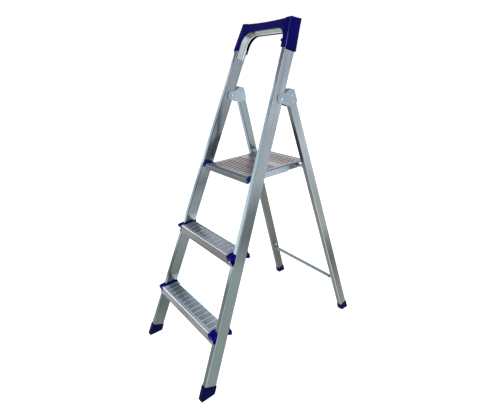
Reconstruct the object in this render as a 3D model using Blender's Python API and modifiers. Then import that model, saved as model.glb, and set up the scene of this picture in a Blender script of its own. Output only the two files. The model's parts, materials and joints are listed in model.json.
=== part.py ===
"""Folding three-tread step stool in galvanised steel with blue plastic fittings.

Metres, +Z up. The stool stands on z = 0 and climbs towards +Y: its treads face -Y.
Handed pieces are built on the +X side, and the -X ones are their mirror images.
"""

import math

import bmesh
import bpy
from mathutils import Matrix, Vector

# ---- driving dimensions -----------------------------------------------------------------
GAP = 0.0003                        # air left between pieces that touch
SHEET = 0.0012                      # pressed sheet of the treads and the platform
TUBE_WALL = 0.0012                  # wall of every tube

FRONT_LEAN = math.radians(24.0)     # front rails lean back from vertical
REAR_LEAN = math.radians(13.0)      # rear legs lean forward from vertical
RAIL_TAPER = 0.063                  # the rails close in this much per metre of height
RAIL_SPREAD = 0.214                 # half the outer width over the rails at the floor
LEG_SPREAD = 0.2095                 # half the outer width over the rear legs at the floor
BASE = 0.678                        # front line of the rails to front line of the legs

RAIL_WIDTH, RAIL_DEPTH = 0.020, 0.0435
LEG_WIDTH, LEG_DEPTH = 0.021, 0.032
RAIL_START, RAIL_END = 0.0256, 1.190      # along the rail
TREAD_HEIGHTS = {"step_lower": 0.1987, "step_upper": 0.4327}
PLATFORM_HEIGHT = 0.660
TREAD_OVERHANG = 0.021              # nosing ahead of the rails' front line
TREAD_DEPTH, NOSING_HEIGHT, TREAD_BACK = 0.063, 0.036, 0.020
SHOE_WALL = 0.0095                  # plastic between a tread's end and the rail
SHOE_LOW = {"shoe_lower": -0.0195, "shoe_upper": -0.0150}    # front block's underside
TAB_DROP, TAB_REACH = 0.0220, 0.012       # nosing's run-on: top edge, reach past the rail

PIVOT_ALONG, PIVOT_IN = 1.004, 0.032      # fold pivot, along the rail and in from its front
HINGE_DROP = 0.012                  # platform hinge below the platform's top
PLATFORM_WIDTH, PLATFORM_BACK = 0.250, 0.577
PLATFORM_FRONT = 0.2905
NOSE_WIDTH = 0.269
FLANGE_HEIGHT, LIP_HEIGHT, FLANGE_BACK = 0.024, 0.0048, 0.482
LEG_PIN_IN = 0.008                  # leg pin, in from the leg's front face
LINK_HEIGHT, LINK_THICK = 0.018, 0.003
BRACE_HEIGHT, BRACE_RADIUS = 0.150, 0.0065
CAP_BOTTOM, CAP_TOP, CAP_WALL = 1.171, 1.2755, 0.002
CAP_HALF_BOTTOM, CAP_HALF_TOP = 0.1510, 0.1350
CAP_FRONT, CAP_BACK = -0.0036, 0.0464
CAP_RISE = 0.0120                   # the cap's top climbs this much from front to back
HOOP_CROWN, HOOP_CORNER, HOOP_START = 1.2430, 0.047, 1.143
HOOP_FRONT, HOOP_BACK, HOOP_THICK = 0.004, 0.034, 0.002
CAP_DIP = 0.0050                    # hollow of the cap's top line
ARCH_INSET = 0.0004                 # the cap's arch stands this much inside the hoop
LINER_TOP, LINER_THICK = 1.176, 0.0012
BUFFER_IN, BUFFER_ALONG = 0.0105, 1.2060  # rubber stop, in from the rail's front and along it
BUFFER_RADIUS, BUFFER_LENGTH = 0.0058, 0.0195

FOOT_WALL = 0.0020
LEG_START, LEG_ABOVE_FOLD = 0.0040, 0.0075
RIVET_HOLE, PIN_HOLE, PIN, BUSH = 0.0026, 0.0043, 0.0036, 0.0069
SHOE_FACE = -RAIL_WIDTH / 2 - GAP - SHOE_WALL       # shoe's inboard face, in the rail's frame
FLANGE_FACE = SHOE_FACE - GAP                       # tread's end flange against it
LINK_FACE = PLATFORM_WIDTH / 2 - SHEET - 0.0010     # outer side of the fold links
PIN_END = LINK_FACE + 0.0006                        # inner end of the leg pins
BRACE_IN = 0.009                    # brace's centre, in from the legs' front line

# ---- frames -------------------------------------------------------------------------------
# In a tube's frame x is across the tube (outboard), y is in from its front face and z is
# along it. SIDE turns a drawing's x, y into y, z; FRONT turns them into x, z.
SIDE = Matrix(((0, 0, 1, 0), (1, 0, 0, 0), (0, 1, 0, 0), (0, 0, 0, 1)))
FRONT = Matrix(((1, 0, 0, 0), (0, 0, -1, 0), (0, 1, 0, 0), (0, 0, 0, 1)))


def tube_frame(origin, run, inward):
    """Frame of a leaning tube: z runs along it and y points in from its front face."""
    z = Vector(run).normalized()
    y = Vector(inward).normalized()
    axes = Matrix((y.cross(z), y, z)).transposed().to_4x4()
    return Matrix.Translation(origin) @ axes


RAIL = tube_frame(
    (RAIL_SPREAD - RAIL_WIDTH / 2, 0, 0),
    (-RAIL_TAPER, math.tan(FRONT_LEAN), 1),
    (0, math.cos(FRONT_LEAN), -math.sin(FRONT_LEAN)),
)
PLANE = Matrix.Rotation(-FRONT_LEAN, 4, "X")    # the rails' own plane, centred on x = 0
FOLD = PLANE @ Vector((0, PIVOT_IN, PIVOT_ALONG))
RAIL_CLOSING = RAIL_TAPER * math.cos(FRONT_LEAN)    # the same per metre along the rail
RAIL_AT_FOLD = RAIL_SPREAD - RAIL_WIDTH / 2 - RAIL_CLOSING * PIVOT_ALONG
LEG_REACH = math.cos(REAR_LEAN) * FOLD.z + math.sin(REAR_LEAN) * (BASE - FOLD.y)
LEG_CLOSING = (LEG_SPREAD - LEG_WIDTH / 2 - RAIL_AT_FOLD) / LEG_REACH
LEG_TAPER = LEG_CLOSING / math.cos(REAR_LEAN)
LEG = tube_frame(
    (LEG_SPREAD - LEG_WIDTH / 2, BASE, 0),
    (-LEG_TAPER, -math.tan(REAR_LEAN), 1),
    (0, math.cos(REAR_LEAN), math.sin(REAR_LEAN)),
)
FOLD_ON_LEG = LEG.inverted() @ Vector((RAIL_AT_FOLD, FOLD.y, FOLD.z))
FOLD_ON_RAIL = RAIL.inverted() @ Vector((RAIL_AT_FOLD, FOLD.y, FOLD.z))

HINGE_Z = PLATFORM_HEIGHT - HINGE_DROP
HINGE_Y = HINGE_Z * math.tan(FRONT_LEAN) + PIVOT_IN / math.cos(FRONT_LEAN)
LEG_PIN_Y = BASE - HINGE_Z * math.tan(REAR_LEAN) + LEG_PIN_IN / math.cos(REAR_LEAN)
LINK_Y = (HINGE_Y + LEG_PIN_Y) / 2


def rail_inner(y, z):
    """Distance of the rail's inner face from the stool's centre, at this y and z."""
    along = z * math.cos(FRONT_LEAN) + y * math.sin(FRONT_LEAN)
    return RAIL_SPREAD - RAIL_WIDTH - RAIL_CLOSING * along


def leg_inner(y, z):
    """Distance of the leg's inner face from the stool's centre, at this y and z."""
    along = z * math.cos(REAR_LEAN) + (BASE - y) * math.sin(REAR_LEAN)
    return LEG_SPREAD - LEG_WIDTH - LEG_CLOSING * along


# ---- modelling helpers --------------------------------------------------------------------
def collection(name):
    made = bpy.data.collections.new(name)
    bpy.context.scene.collection.children.link(made)
    return made


def evaluated_mesh(obj):
    """The object's mesh in world space, with its modifiers and any curve bevel applied."""
    bpy.context.view_layer.update()
    shown = obj.evaluated_get(bpy.context.evaluated_depsgraph_get())
    mesh = bpy.data.meshes.new_from_object(shown)
    mesh.transform(obj.matrix_world)
    return mesh


def weld(mesh):
    work = bmesh.new()
    work.from_mesh(mesh)
    bmesh.ops.remove_doubles(work, verts=work.verts, dist=1e-6)
    bmesh.ops.recalc_face_normals(work, faces=work.faces)
    work.to_mesh(mesh)
    work.free()


def add(name, mesh):
    obj = bpy.data.objects.new(name, mesh)
    PARTS.objects.link(obj)
    return obj


def prism(name, outlines, low, high, place):
    """Flat outlines, the later ones holes in the first, drawn in x, y and pulled along z."""
    curve = bpy.data.curves.new(name, "CURVE")
    curve.dimensions = "2D"
    curve.fill_mode = "BOTH"
    curve.extrude = (high - low) / 2
    for outline in outlines:
        spline = curve.splines.new("POLY")
        spline.points.add(len(outline) - 1)
        spline.use_cyclic_u = True
        for point, (x, y) in zip(spline.points, outline):
            point.co = (x, y, 0, 1)
    drawn = add(name + "_outline", curve)
    drawn.matrix_world = place @ Matrix.Translation((0, 0, (low + high) / 2))
    mesh = evaluated_mesh(drawn)
    bpy.data.objects.remove(drawn)
    weld(mesh)
    return add(name, mesh)


def turned(name, profile, place, steps=20):
    """A turned piece: (radius, height) pairs from the top down, closed on the axis."""
    mesh = bpy.data.meshes.new(name)
    points = [(r, 0, h) for r, h in profile]
    mesh.from_pydata(points, [(i, i + 1) for i in range(len(points) - 1)], [])
    obj = add(name, mesh)
    screw = obj.modifiers.new("turn", "SCREW")
    screw.steps = screw.render_steps = steps
    screw.use_merge_vertices = True
    screw.merge_threshold = 1e-5
    obj.matrix_world = place
    solid = evaluated_mesh(obj)
    bpy.data.objects.remove(obj)
    weld(solid)
    return add(name, solid)


def cut(obj, cutter):
    """Takes the cutter out of the object, and puts the cutter away."""
    combine(obj, cutter, "DIFFERENCE")


def join(obj, other):
    combine(obj, other, "UNION")


def combine(obj, other, operation):
    PARTS.objects.unlink(other)
    CUTTERS.objects.link(other)
    step = obj.modifiers.new(other.name, "BOOLEAN")
    step.operation = operation
    step.solver = "EXACT"
    step.object = other
    mesh = evaluated_mesh(obj)
    obj.modifiers.clear()
    obj.data = mesh
    bpy.data.objects.remove(other)


def soften(obj, width, segments=2):
    """Rounds the edges sharper than 30 degrees."""
    bevel = obj.modifiers.new("soften", "BEVEL")
    bevel.width = width
    bevel.segments = segments
    bevel.limit_method = "ANGLE"
    obj.data = evaluated_mesh(obj)
    obj.modifiers.clear()


def mirrored(obj, name):
    mesh = obj.data.copy()
    mesh.transform(Matrix.Diagonal((-1, 1, 1, 1)))
    mesh.flip_normals()
    return add(name, mesh)


def both_sides(obj, stem):
    """Names a right-hand piece and adds its left-hand mirror image."""
    obj.name = stem + "_right"
    return [obj, mirrored(obj, stem + "_left")]


def arc(centre, radius, start, end, steps):
    """Points on an arc, angles in degrees."""
    turns = [math.radians(start + (end - start) * i / steps) for i in range(steps + 1)]
    return [(centre[0] + radius * math.cos(a), centre[1] + radius * math.sin(a)) for a in turns]


def rounded_rectangle(low, high, radius, steps=4):
    (x0, y0), (x1, y1) = low, high
    corners = ((x1, y0, -90), (x1, y1, 0), (x0, y1, 90), (x0, y0, 180))
    points = []
    for x, y, start in corners:
        cx = x - radius if x == x1 else x + radius
        cy = y - radius if y == y1 else y + radius
        points += arc((cx, cy), radius, start, start + 90, steps)
    return points


def rounded(points, radii, steps=4):
    """An open path with each inner corner turned into an arc of its radius."""
    path = [Vector(points[0])]
    for i, radius in enumerate(radii, 1):
        before, here, after = (Vector(points[j]) for j in (i - 1, i, i + 1))
        inward, outward = (before - here).normalized(), (after - here).normalized()
        half = inward.angle(outward) / 2
        reach = radius / math.tan(half)
        centre = here + (inward + outward).normalized() * radius / math.sin(half)
        first, last = here + inward * reach, here + outward * reach
        turn = (first - centre).angle_signed(last - centre)
        for step in range(steps + 1):
            path.append(centre + Matrix.Rotation(-turn * step / steps, 2) @ (first - centre))
    path.append(Vector(points[-1]))
    return path


def strip(path, thickness):
    """Outline of a sheet that follows the path, with its thickness on the path's left."""
    left = []
    for i, here in enumerate(path):
        before = (here - path[i - 1]).normalized() if i else (path[1] - here).normalized()
        after = (path[i + 1] - here).normalized() if i + 1 < len(path) else before
        normal = Vector((-(before + after).y, (before + after).x)).normalized()
        mitre = 1 / max(0.3, normal.dot(Vector((-after.y, after.x))))
        left.append(here + normal * thickness * mitre)
    return [tuple(p) for p in path] + [tuple(p) for p in reversed(left)]


def seat(frame, x, y, z):
    """A place in a right-hand frame whose local z points to the stool's centre."""
    return frame @ Matrix.Translation((x, y, z)) @ Matrix.Rotation(-math.pi / 2, 4, "Y")


def across(x, y, z):
    """The same for a pin that lies square across the stool."""
    return seat(Matrix.Identity(4), x, y, z)


def drill(obj, place, radius, reach=0.02):
    profile = [(0, reach), (radius, reach), (radius, -reach), (0, -reach)]
    cut(obj, turned("drill", profile, place, 20))


def fastener(place, head, shank, length, tail, dome=0.0016, bulb=0.0014):
    """Domed head seated at z = 0, a shank of this length and a flat bulb behind it."""
    profile = [(head * math.sin(a), dome * math.cos(a)) for a in (0.0, 0.5, 0.95, 1.35)]
    profile += [(head, 0), (shank, 0), (shank, -length), (tail, -length)]
    profile += [(tail, -length - bulb), (0, -length - bulb)]
    return turned("fastener", profile, place, 16)


def fastener_set(stem, right_hand):
    """Separate fasteners and their mirror images, numbered when there are several."""
    made = []
    for number, piece in enumerate(right_hand, 1):
        made += both_sides(piece, stem if len(right_hand) == 1 else f"{stem}_{number}")
    return made


# ---- materials ----------------------------------------------------------------------------
COLOURS = {
    "galvanised_steel": ((0.46, 0.49, 0.51), 0.34, 1.0),
    "blue_plastic": ((0.012, 0.013, 0.11), 0.42, 0.0),
    "black_plastic": ((0.010, 0.010, 0.012), 0.5, 0.0),
    "rivet_steel": ((0.62, 0.63, 0.64), 0.25, 1.0),
}


def finish(obj, kind):
    colour, roughness, metallic = COLOURS[kind]
    made = bpy.data.materials.new(obj.name + "_" + kind)
    made.use_nodes = True
    shader = made.node_tree.nodes["Principled BSDF"]
    shader.inputs["Base Color"].default_value = (*colour, 1)
    shader.inputs["Roughness"].default_value = roughness
    shader.inputs["Metallic"].default_value = metallic
    obj.data.materials.clear()
    obj.data.materials.append(made)
    obj.data.shade_smooth()
    obj.data.set_sharp_from_angle(angle=math.radians(30))
    return obj


# ---- tubes and feet -----------------------------------------------------------------------
def tube(name, width, depth, low, high, place):
    half = width / 2
    outer = rounded_rectangle((-half, 0), (half, depth), 0.003)
    inner = rounded_rectangle(
        (-half + TUBE_WALL, TUBE_WALL), (half - TUBE_WALL, depth - TUBE_WALL), 0.0018
    )
    return prism(name, [outer, inner], low, high, place)


def foot(stem, width, depth, place, pocket, top):
    """A cup over a tube's end, its sole cut level with the floor."""
    half = width / 2 + FOOT_WALL
    outer = rounded_rectangle((-half, -FOOT_WALL), (half, depth + FOOT_WALL), 0.004)
    half = width / 2 + GAP
    bore = rounded_rectangle((-half, -GAP), (half, depth + GAP), 0.0032)
    cup = prism(stem, [outer], -0.04, top, place)
    cut(cup, prism("pocket", [bore], pocket, top + 0.02, place))
    around = Matrix.Translation((place.translation.x, place.translation.y, 0))
    square = [(-0.1, -0.1), (0.1, -0.1), (0.1, 0.1), (-0.1, 0.1)]
    cut(cup, prism("floor", [square], -0.1, 0, around))
    return both_sides(cup, stem)


def front_rails():
    rail = tube("front_rail", RAIL_WIDTH, RAIL_DEPTH, RAIL_START, RAIL_END, RAIL)
    for height in TREAD_HEIGHTS.values():
        for place in tread_rivet_places(height):
            drill(rail, place, RIVET_HOLE, 0.014)
    drill(rail, across(rail_inner(HINGE_Y, HINGE_Z), HINGE_Y, HINGE_Z), PIN_HOLE, 0.006)
    drill(rail, across(RAIL_AT_FOLD, FOLD.y, FOLD.z), PIN_HOLE)
    for place in hoop_rivet_places():
        drill(rail, place, RIVET_HOLE, 0.006)
    return both_sides(rail, "front_rail")


def rear_legs():
    top = FOLD_ON_LEG.z + LEG_ABOVE_FOLD
    leg = tube("rear_leg", LEG_WIDTH, LEG_DEPTH, LEG_START, top, LEG)
    drill(leg, across(leg_inner(LEG_PIN_Y, HINGE_Z), LEG_PIN_Y, HINGE_Z), PIN_HOLE, 0.006)
    for place in bracket_rivet_places():
        drill(leg, place, RIVET_HOLE)
    drill(leg, brace_rivet_place(), RIVET_HOLE, 0.006)
    return both_sides(leg, "rear_leg")


# ---- treads and their shoes ---------------------------------------------------------------
def tread_line(height):
    """Where the rails' front line is at this height."""
    return height * math.tan(FRONT_LEAN)


def slab(x_low, x_high, y_low, y_high, height):
    """A block in the right-hand rail's frame that reaches well past one tread."""
    along = height / math.cos(FRONT_LEAN)
    corners = [(x_low, y_low), (x_high, y_low), (x_high, y_high), (x_low, y_high)]
    return prism("slab", [corners], along - 0.2, along + 0.2, RAIL)


def shoes(stem, height):
    """Plastic clips round the rails' front, inner and rear faces, at a tread's ends."""
    line = tread_line(height)
    low = SHOE_LOW[stem]
    shape = ((-0.0220, low + 0.0025), (-0.0220, -0.0035), (-0.0190, -0.0015), (-0.0010, 0.0010),
             (0.0455, -0.0040), (0.0540, -0.0150), (0.0540, -0.0280), (0.0505, -0.0315),
             (-0.0010, low - 0.0020), (-0.0190, low))
    outline = [(line + y, height + z) for y, z in shape]
    middle = rail_inner(line, height)
    body = prism("shoe", [outline], middle - 0.03, middle + 0.04, SIDE)
    cut(body, slab(RAIL_WIDTH / 2, 0.1, -0.1, 0.2, height))
    cut(body, slab(-0.2, SHOE_FACE, -0.1, 0.2, height))
    cut(body, slab(-RAIL_WIDTH / 2 - GAP, 0.1, -GAP, RAIL_DEPTH + GAP, height))
    soften(body, 0.0012)
    for place in tread_rivet_places(height):
        drill(body, place, RIVET_HOLE)
    return both_sides(body, stem)


def tread_rivet_places(height):
    """Seats of the two rivets on a tread's end flange, in the right-hand rail's frame."""
    drop = height - 0.019
    for inward in (0.012, 0.032):
        along = (drop + inward * math.sin(FRONT_LEAN)) / math.cos(FRONT_LEAN)
        yield seat(RAIL, FLANGE_FACE - SHEET - GAP, inward, along)


def end_flange(height, back):
    """The turned-down end of a tread, lying along the shoe."""
    line = tread_line(height)
    top, bottom = height - SHEET / 2, height - 0.030
    outline = [(line - 0.004, bottom), (back - 0.006, bottom), (back - 0.004, top),
               (line - 0.006, top)]
    middle = rail_inner(line, height)
    plate = prism("flange", [outline], middle - 0.06, middle + 0.02, SIDE)
    cut(plate, slab(FLANGE_FACE, 0.1, -0.1, 0.2, height))
    cut(plate, slab(-0.2, FLANGE_FACE - SHEET, -0.1, 0.2, height))
    for place in tread_rivet_places(height):
        drill(plate, place, RIVET_HOLE)
    return plate


def nosing_tab(height):
    """The nosing's lower edge, running on under the shoe and across the rail's front."""
    front, low = tread_line(height) - TREAD_OVERHANG, height - NOSING_HEIGHT
    outline = [(front + GAP, low + GAP), (front + GAP + SHEET, low + GAP),
               (front + GAP + SHEET, height - TAB_DROP), (front + GAP, height - TAB_DROP)]
    inner = rail_inner(front, low)
    return prism("tab", [outline], inner - 0.020, inner + TAB_REACH, SIDE)


def tread(name, height):
    """A pressed tray: nosing, rear edge and both ends turned down."""
    front = tread_line(height) - TREAD_OVERHANG
    back = front + TREAD_DEPTH
    low, rear_low = height - NOSING_HEIGHT, height - TREAD_BACK
    path = rounded(
        [(back - 0.009, rear_low), (back, rear_low), (back, height), (front, height),
         (front, low), (front + 0.010, low)],
        [0.002, 0.004, 0.003, 0.003],
    )
    half = rail_inner(front, height)
    tray = prism(name, [strip(path, SHEET)], -half, half, SIDE)
    trim = slab(FLANGE_FACE, 0.1, -0.1, 0.2, height)
    for cutter in (mirrored(trim, "trim"), trim):
        cut(tray, cutter)
    for flange in both_sides(end_flange(height, back), "flange"):
        join(tray, flange)
    for tab in both_sides(nosing_tab(height), "tab"):
        join(tray, tab)
    return tray


def tread_rivets():
    """Two blind rivets through each end flange, its shoe and the rail's inner wall."""
    length = -RAIL_WIDTH / 2 + TUBE_WALL + GAP - (FLANGE_FACE - SHEET - GAP)
    made = [
        fastener(place, 0.0045, 0.0022, length, 0.0036)
        for height in TREAD_HEIGHTS.values()
        for place in tread_rivet_places(height)
    ]
    return fastener_set("step_rivet", made)


# ---- platform, its hinge and the fold links -----------------------------------------------
def platform():
    """A pressed panel with side flanges, stepped up at the rear, and a rolled nose."""
    half, top = PLATFORM_WIDTH / 2, PLATFORM_HEIGHT
    low = top - FLANGE_HEIGHT
    channel = rounded([(-half, low), (-half, top), (half, top), (half, low)], [0.003, 0.003])
    start = PLATFORM_FRONT + 0.010
    inside = [tuple(p) for p in strip(channel, -SHEET)]
    panel = prism("platform", [inside], -PLATFORM_BACK, -start, FRONT)
    step = [(FLANGE_BACK, low - 0.01), (FLANGE_BACK, low), (FLANGE_BACK + 0.010, top - LIP_HEIGHT),
            (PLATFORM_BACK - 0.012, top - LIP_HEIGHT), (PLATFORM_BACK - 0.004, top - SHEET - GAP),
            (PLATFORM_BACK + 0.01, top - SHEET - GAP), (PLATFORM_BACK + 0.01, low - 0.01)]
    cut(panel, prism("step", [step], -0.2, 0.2, SIDE))
    front = PLATFORM_FRONT
    nose = rounded(
        [(start + 0.002, top), (front, top - 0.003), (front, low + 0.001),
         (front + 0.008, low + 0.001)],
        [0.006, 0.003],
    )
    roll = prism("nose", [strip(nose, SHEET)], -NOSE_WIDTH / 2, NOSE_WIDTH / 2, SIDE)
    join(panel, roll)
    for y in (HINGE_Y, LINK_Y):
        drill(panel, across(0, y, HINGE_Z), PIN_HOLE if y == HINGE_Y else RIVET_HOLE, 0.2)
    return panel


def platform_blocks():
    """Blue spacers on the rails, round the hinge pins and past the nosing's ends."""
    inner, middle = PLATFORM_WIDTH / 2 + GAP, NOSE_WIDTH / 2 + 2 * GAP
    hub = rounded_rectangle(
        (HINGE_Y - 0.018, HINGE_Z - 0.0100), (HINGE_Y + 0.014, HINGE_Z + 0.0070), 0.004
    )
    pad = rounded_rectangle(
        (HINGE_Y - 0.0315, HINGE_Z - 0.0035), (HINGE_Y - 0.0065, HINGE_Z + 0.0120), 0.004
    )
    block = prism("block", [hub], inner, RAIL_SPREAD, SIDE)
    join(block, prism("pad", [pad], middle, RAIL_SPREAD, SIDE))
    cut(block, slab(-RAIL_WIDTH / 2 - GAP, 0.2, -0.2, 0.2, HINGE_Z))
    drill(block, across(inner, HINGE_Y, HINGE_Z), PIN_HOLE, 0.05)
    return both_sides(block, "platform_block")


def hinge_pins():
    """Pins from inside each flange into the rail, which the platform turns on."""
    inside = PLATFORM_WIDTH / 2 - SHEET - GAP
    wall = rail_inner(HINGE_Y, HINGE_Z) + TUBE_WALL + 0.0012
    pin = fastener(across(inside, HINGE_Y, HINGE_Z), 0.0068, PIN, wall - inside, 0.0062)
    return both_sides(pin, "hinge_pin")


def links():
    """Flat bars inside the flanges, from the platform's middle to the leg pins."""
    half = LINK_HEIGHT / 2
    outline = arc((LINK_Y, HINGE_Z), half, 90, 270, 8) + arc((LEG_PIN_Y, HINGE_Z), half, -90, 90, 8)
    bar = prism("link", [outline], LINK_FACE - LINK_THICK, LINK_FACE, SIDE)
    drill(bar, across(LINK_FACE, LINK_Y, HINGE_Z), RIVET_HOLE)
    head = [(0.0055 * math.sin(a), 0.0016 * math.cos(a)) for a in (0.0, 0.5, 0.95, 1.35)]
    head += [(0.0055, 0), (0.0055, -0.001), (0, -0.001)]
    inside = across(LINK_FACE - LINK_THICK, LEG_PIN_Y, HINGE_Z)
    join(bar, turned("eye", head, inside, 20))
    return both_sides(bar, "link")


def link_rivets():
    """Each link's pivot rivet, headed outside the platform's flange."""
    outside = PLATFORM_WIDTH / 2 + GAP
    inside = LINK_FACE - LINK_THICK - GAP
    place = across(outside, LINK_Y, HINGE_Z) @ Matrix.Rotation(math.pi, 4, "X")
    pivot = fastener(place, 0.0050, 0.0022, outside - inside, 0.0042)
    return both_sides(pivot, "link_rivet")


def leg_pins():
    """Pins fixed in the legs' inner walls. They stop just short of the links' eyes."""
    wall = leg_inner(LEG_PIN_Y, HINGE_Z) + TUBE_WALL + 0.0012
    end = PIN_END
    profile = [(0, 0), (PIN, 0), (PIN, end - wall), (0.0062, end - wall),
               (0.0062, end - wall - 0.0014), (0, end - wall - 0.0014)]
    pin = turned("pin", profile, across(end, LEG_PIN_Y, HINGE_Z), 20)
    return both_sides(pin, "leg_pin")


def leg_bushes():
    """Spacer bushes on the leg pins. The platform's lips rest on them."""
    length = leg_inner(LEG_PIN_Y, HINGE_Z) - 0.0012 - PIN_END
    place = across(PIN_END + 0.0002, LEG_PIN_Y, HINGE_Z)
    outer = arc((0, 0), BUSH, 0, 360 * 23 / 24, 23)
    bore = arc((0, 0), PIN + GAP, 0, 360 * 23 / 24, 23)
    return both_sides(prism("bush", [outer, bore], -length, 0, place), "leg_bush")


# ---- fold pivots, brackets and brace ------------------------------------------------------
def bracket_place():
    """The leg's frame, moved to the fold pivot."""
    return LEG @ Matrix.Translation((0, FOLD_ON_LEG.y, FOLD_ON_LEG.z))


def brackets():
    """Folded steel channels on the legs' tops that straddle the rails."""
    plate = 0.002
    slot = LEG_WIDTH / 2 + GAP
    back = LEG_DEPTH - FOLD_ON_LEG.y + GAP + plate
    outline = arc((0, 0), 0.0165, 97, 265, 12)
    outline += [(0.0250, -0.0355), (0.0330, -0.0395), (back - 0.009, -0.0395), (back, -0.0300),
                (back, 0.0105), (back - 0.016, 0.0195), (0.0260, 0.0125)]
    body = prism("bracket", [outline], -slot - plate, slot + plate, bracket_place() @ SIDE)
    inside = [(-0.04, -0.06), (back - plate, -0.06), (back - plate, 0.0092),
              (back - 0.0165, 0.0170), (0.0280, 0.0112), (0.0250, 0.0300), (-0.04, 0.03)]
    cut(body, prism("slot", [inside], -slot, slot, bracket_place() @ SIDE))
    drill(body, across(RAIL_AT_FOLD, FOLD.y, FOLD.z), PIN_HOLE, 0.03)
    for place in bracket_rivet_places():
        drill(body, place, RIVET_HOLE, 0.03)
    return both_sides(body, "pivot_bracket")


def bracket_rivet_places():
    """Middles of the two rivets that fix a bracket to its leg."""
    centre = LEG_DEPTH / 2
    for above in (-0.0035, -0.0240):
        yield seat(LEG, 0, centre, FOLD_ON_LEG.z + above)


def double_headed(place, head, shank, half, dome):
    """A through rivet with a domed head at each end."""
    cap = [(head * math.sin(a), half + dome * math.cos(a)) for a in (0.0, 0.5, 0.95, 1.35)]
    cap += [(head, half), (shank, half)]
    profile = cap + [(r, -h) for r, h in reversed(cap)]
    return turned("rivet", profile, place, 20)


def pivot_pins():
    """The fold pivots: through each bracket's plates and the rail between them."""
    half = LEG_WIDTH / 2 + GAP + 0.002 + 0.0007
    pin = double_headed(across(RAIL_AT_FOLD, FOLD.y, FOLD.z), 0.0062, PIN, half, 0.0024)
    return both_sides(pin, "pivot_pin")


def bracket_rivets():
    half = LEG_WIDTH / 2 + GAP + 0.002 + GAP
    made = [double_headed(place, 0.0040, 0.0022, half, 0.0013)
            for place in bracket_rivet_places()]
    return fastener_set("bracket_rivet", made)


def brace_rivet_place():
    return seat(LEG, -LEG_WIDTH / 2, BRACE_IN, (BRACE_HEIGHT + 0.0130) / math.cos(REAR_LEAN))


def brace():
    """A round tube between the legs whose flattened ends turn up along their inner faces."""
    y = BASE - BRACE_HEIGHT * math.tan(REAR_LEAN) + BRACE_IN
    reach = leg_inner(y, BRACE_HEIGHT) - 0.010
    bar = [(BRACE_RADIUS * math.cos(a), BRACE_RADIUS * math.sin(a))
           for a in (math.radians(15 * i) for i in range(24))]
    bore = [(x * 0.82, y_) for x, y_ in ((p[0], p[1] * 0.82) for p in bar)]
    place = Matrix.Translation((0, y, BRACE_HEIGHT)) @ SIDE
    rod = prism("rear_brace", [bar, bore], -reach, reach, place)
    for end in both_sides(brace_end(), "end"):
        join(rod, end)
    return rod


def brace_end():
    """The flattened end: a strap from the tube's mouth up the leg's inner face."""
    y = BASE - BRACE_HEIGHT * math.tan(REAR_LEAN) + BRACE_IN
    face = leg_inner(y, BRACE_HEIGHT + 0.013) - GAP
    reach = leg_inner(y, BRACE_HEIGHT) - 0.010
    lean = LEG_TAPER * 0.024
    path = rounded(
        [(reach - 0.006, BRACE_HEIGHT - 0.001), (face + lean / 2, BRACE_HEIGHT - 0.001),
         (face - lean / 2, BRACE_HEIGHT + 0.024)],
        [0.006],
    )
    outline = strip(path, 0.0026)
    strap = prism("strap", [outline], -0.0095, 0.0095, Matrix.Translation((0, y, 0)) @ FRONT)
    drill(strap, brace_rivet_place(), RIVET_HOLE, 0.01)
    return strap


def brace_rivets():
    place = brace_rivet_place() @ Matrix.Translation((0, 0, 0.0026 + 2 * GAP))
    length = 0.0026 + 2 * GAP + TUBE_WALL + GAP
    return fastener_set("brace_rivet", [fastener(place, 0.0042, 0.0022, length, 0.0036)])


# ---- hoop and cap -------------------------------------------------------------------------
def arch(inset, start):
    """The hoop's inner line in the rails' plane, drawn smaller by an inset."""
    crown = HOOP_CROWN - HOOP_THICK - inset

    def reach(along):
        face = RAIL_SPREAD - RAIL_WIDTH - RAIL_CLOSING * along
        return face - 2 * GAP - HOOP_THICK - inset

    corners = [(-reach(start), start), (-reach(crown), crown), (reach(crown), crown),
               (reach(start), start)]
    return rounded(corners, [HOOP_CORNER, HOOP_CORNER], 10)


def hoop():
    """A steel strip bent over between the rails' inner faces."""
    outline = strip(arch(0, HOOP_START), HOOP_THICK)
    band = prism("hoop", [outline], -HOOP_BACK, -HOOP_FRONT, PLANE @ FRONT)
    for place in hoop_rivet_places():
        drill_pair(band, place, RIVET_HOLE, 0.006)
    for place in cap_screw_places():
        drill(band, place, RIVET_HOLE)
    return band


def drill_pair(obj, place, radius, reach):
    """Drills a right-hand hole and its mirror image."""
    profile = [(0, reach), (radius, reach), (radius, -reach), (0, -reach)]
    right = turned("drill", profile, place, 20)
    for cutter in (mirrored(right, "drill"), right):
        cut(obj, cutter)


def hoop_rivet_places():
    """The rivet through each end of the hoop, on the right-hand rail's inner face."""
    middle = (HOOP_FRONT + HOOP_BACK) / 2
    yield seat(RAIL, -RAIL_WIDTH / 2, middle, HOOP_START + 0.014)


def hoop_rivets():
    stand = HOOP_THICK + 3 * GAP
    made = [
        fastener(place @ Matrix.Translation((0, 0, stand)), 0.0042, 0.0022,
                 stand + TUBE_WALL + GAP, 0.0036)
        for place in hoop_rivet_places()
    ]
    return fastener_set("hoop_rivet", made)


def cap_screw_places():
    """Screws up through the hoop into the cap's roof, on the hoop's underside."""
    middle = (HOOP_FRONT + HOOP_BACK) / 2
    for x in (-0.029, 0.029):
        yield (PLANE @ Matrix.Translation((x, middle, HOOP_CROWN - HOOP_THICK - GAP))
               @ Matrix.Rotation(math.pi, 4, "X"))


def cap_screws():
    names = ("cap_screw_left", "cap_screw_right")
    made = []
    for name, place in zip(names, cap_screw_places()):
        screw = fastener(place, 0.0042, 0.0021, 0.018, 0.0021, 0.0018, 0.0002)
        screw.name = screw.data.name = name
        made.append(screw)
    return made


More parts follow.
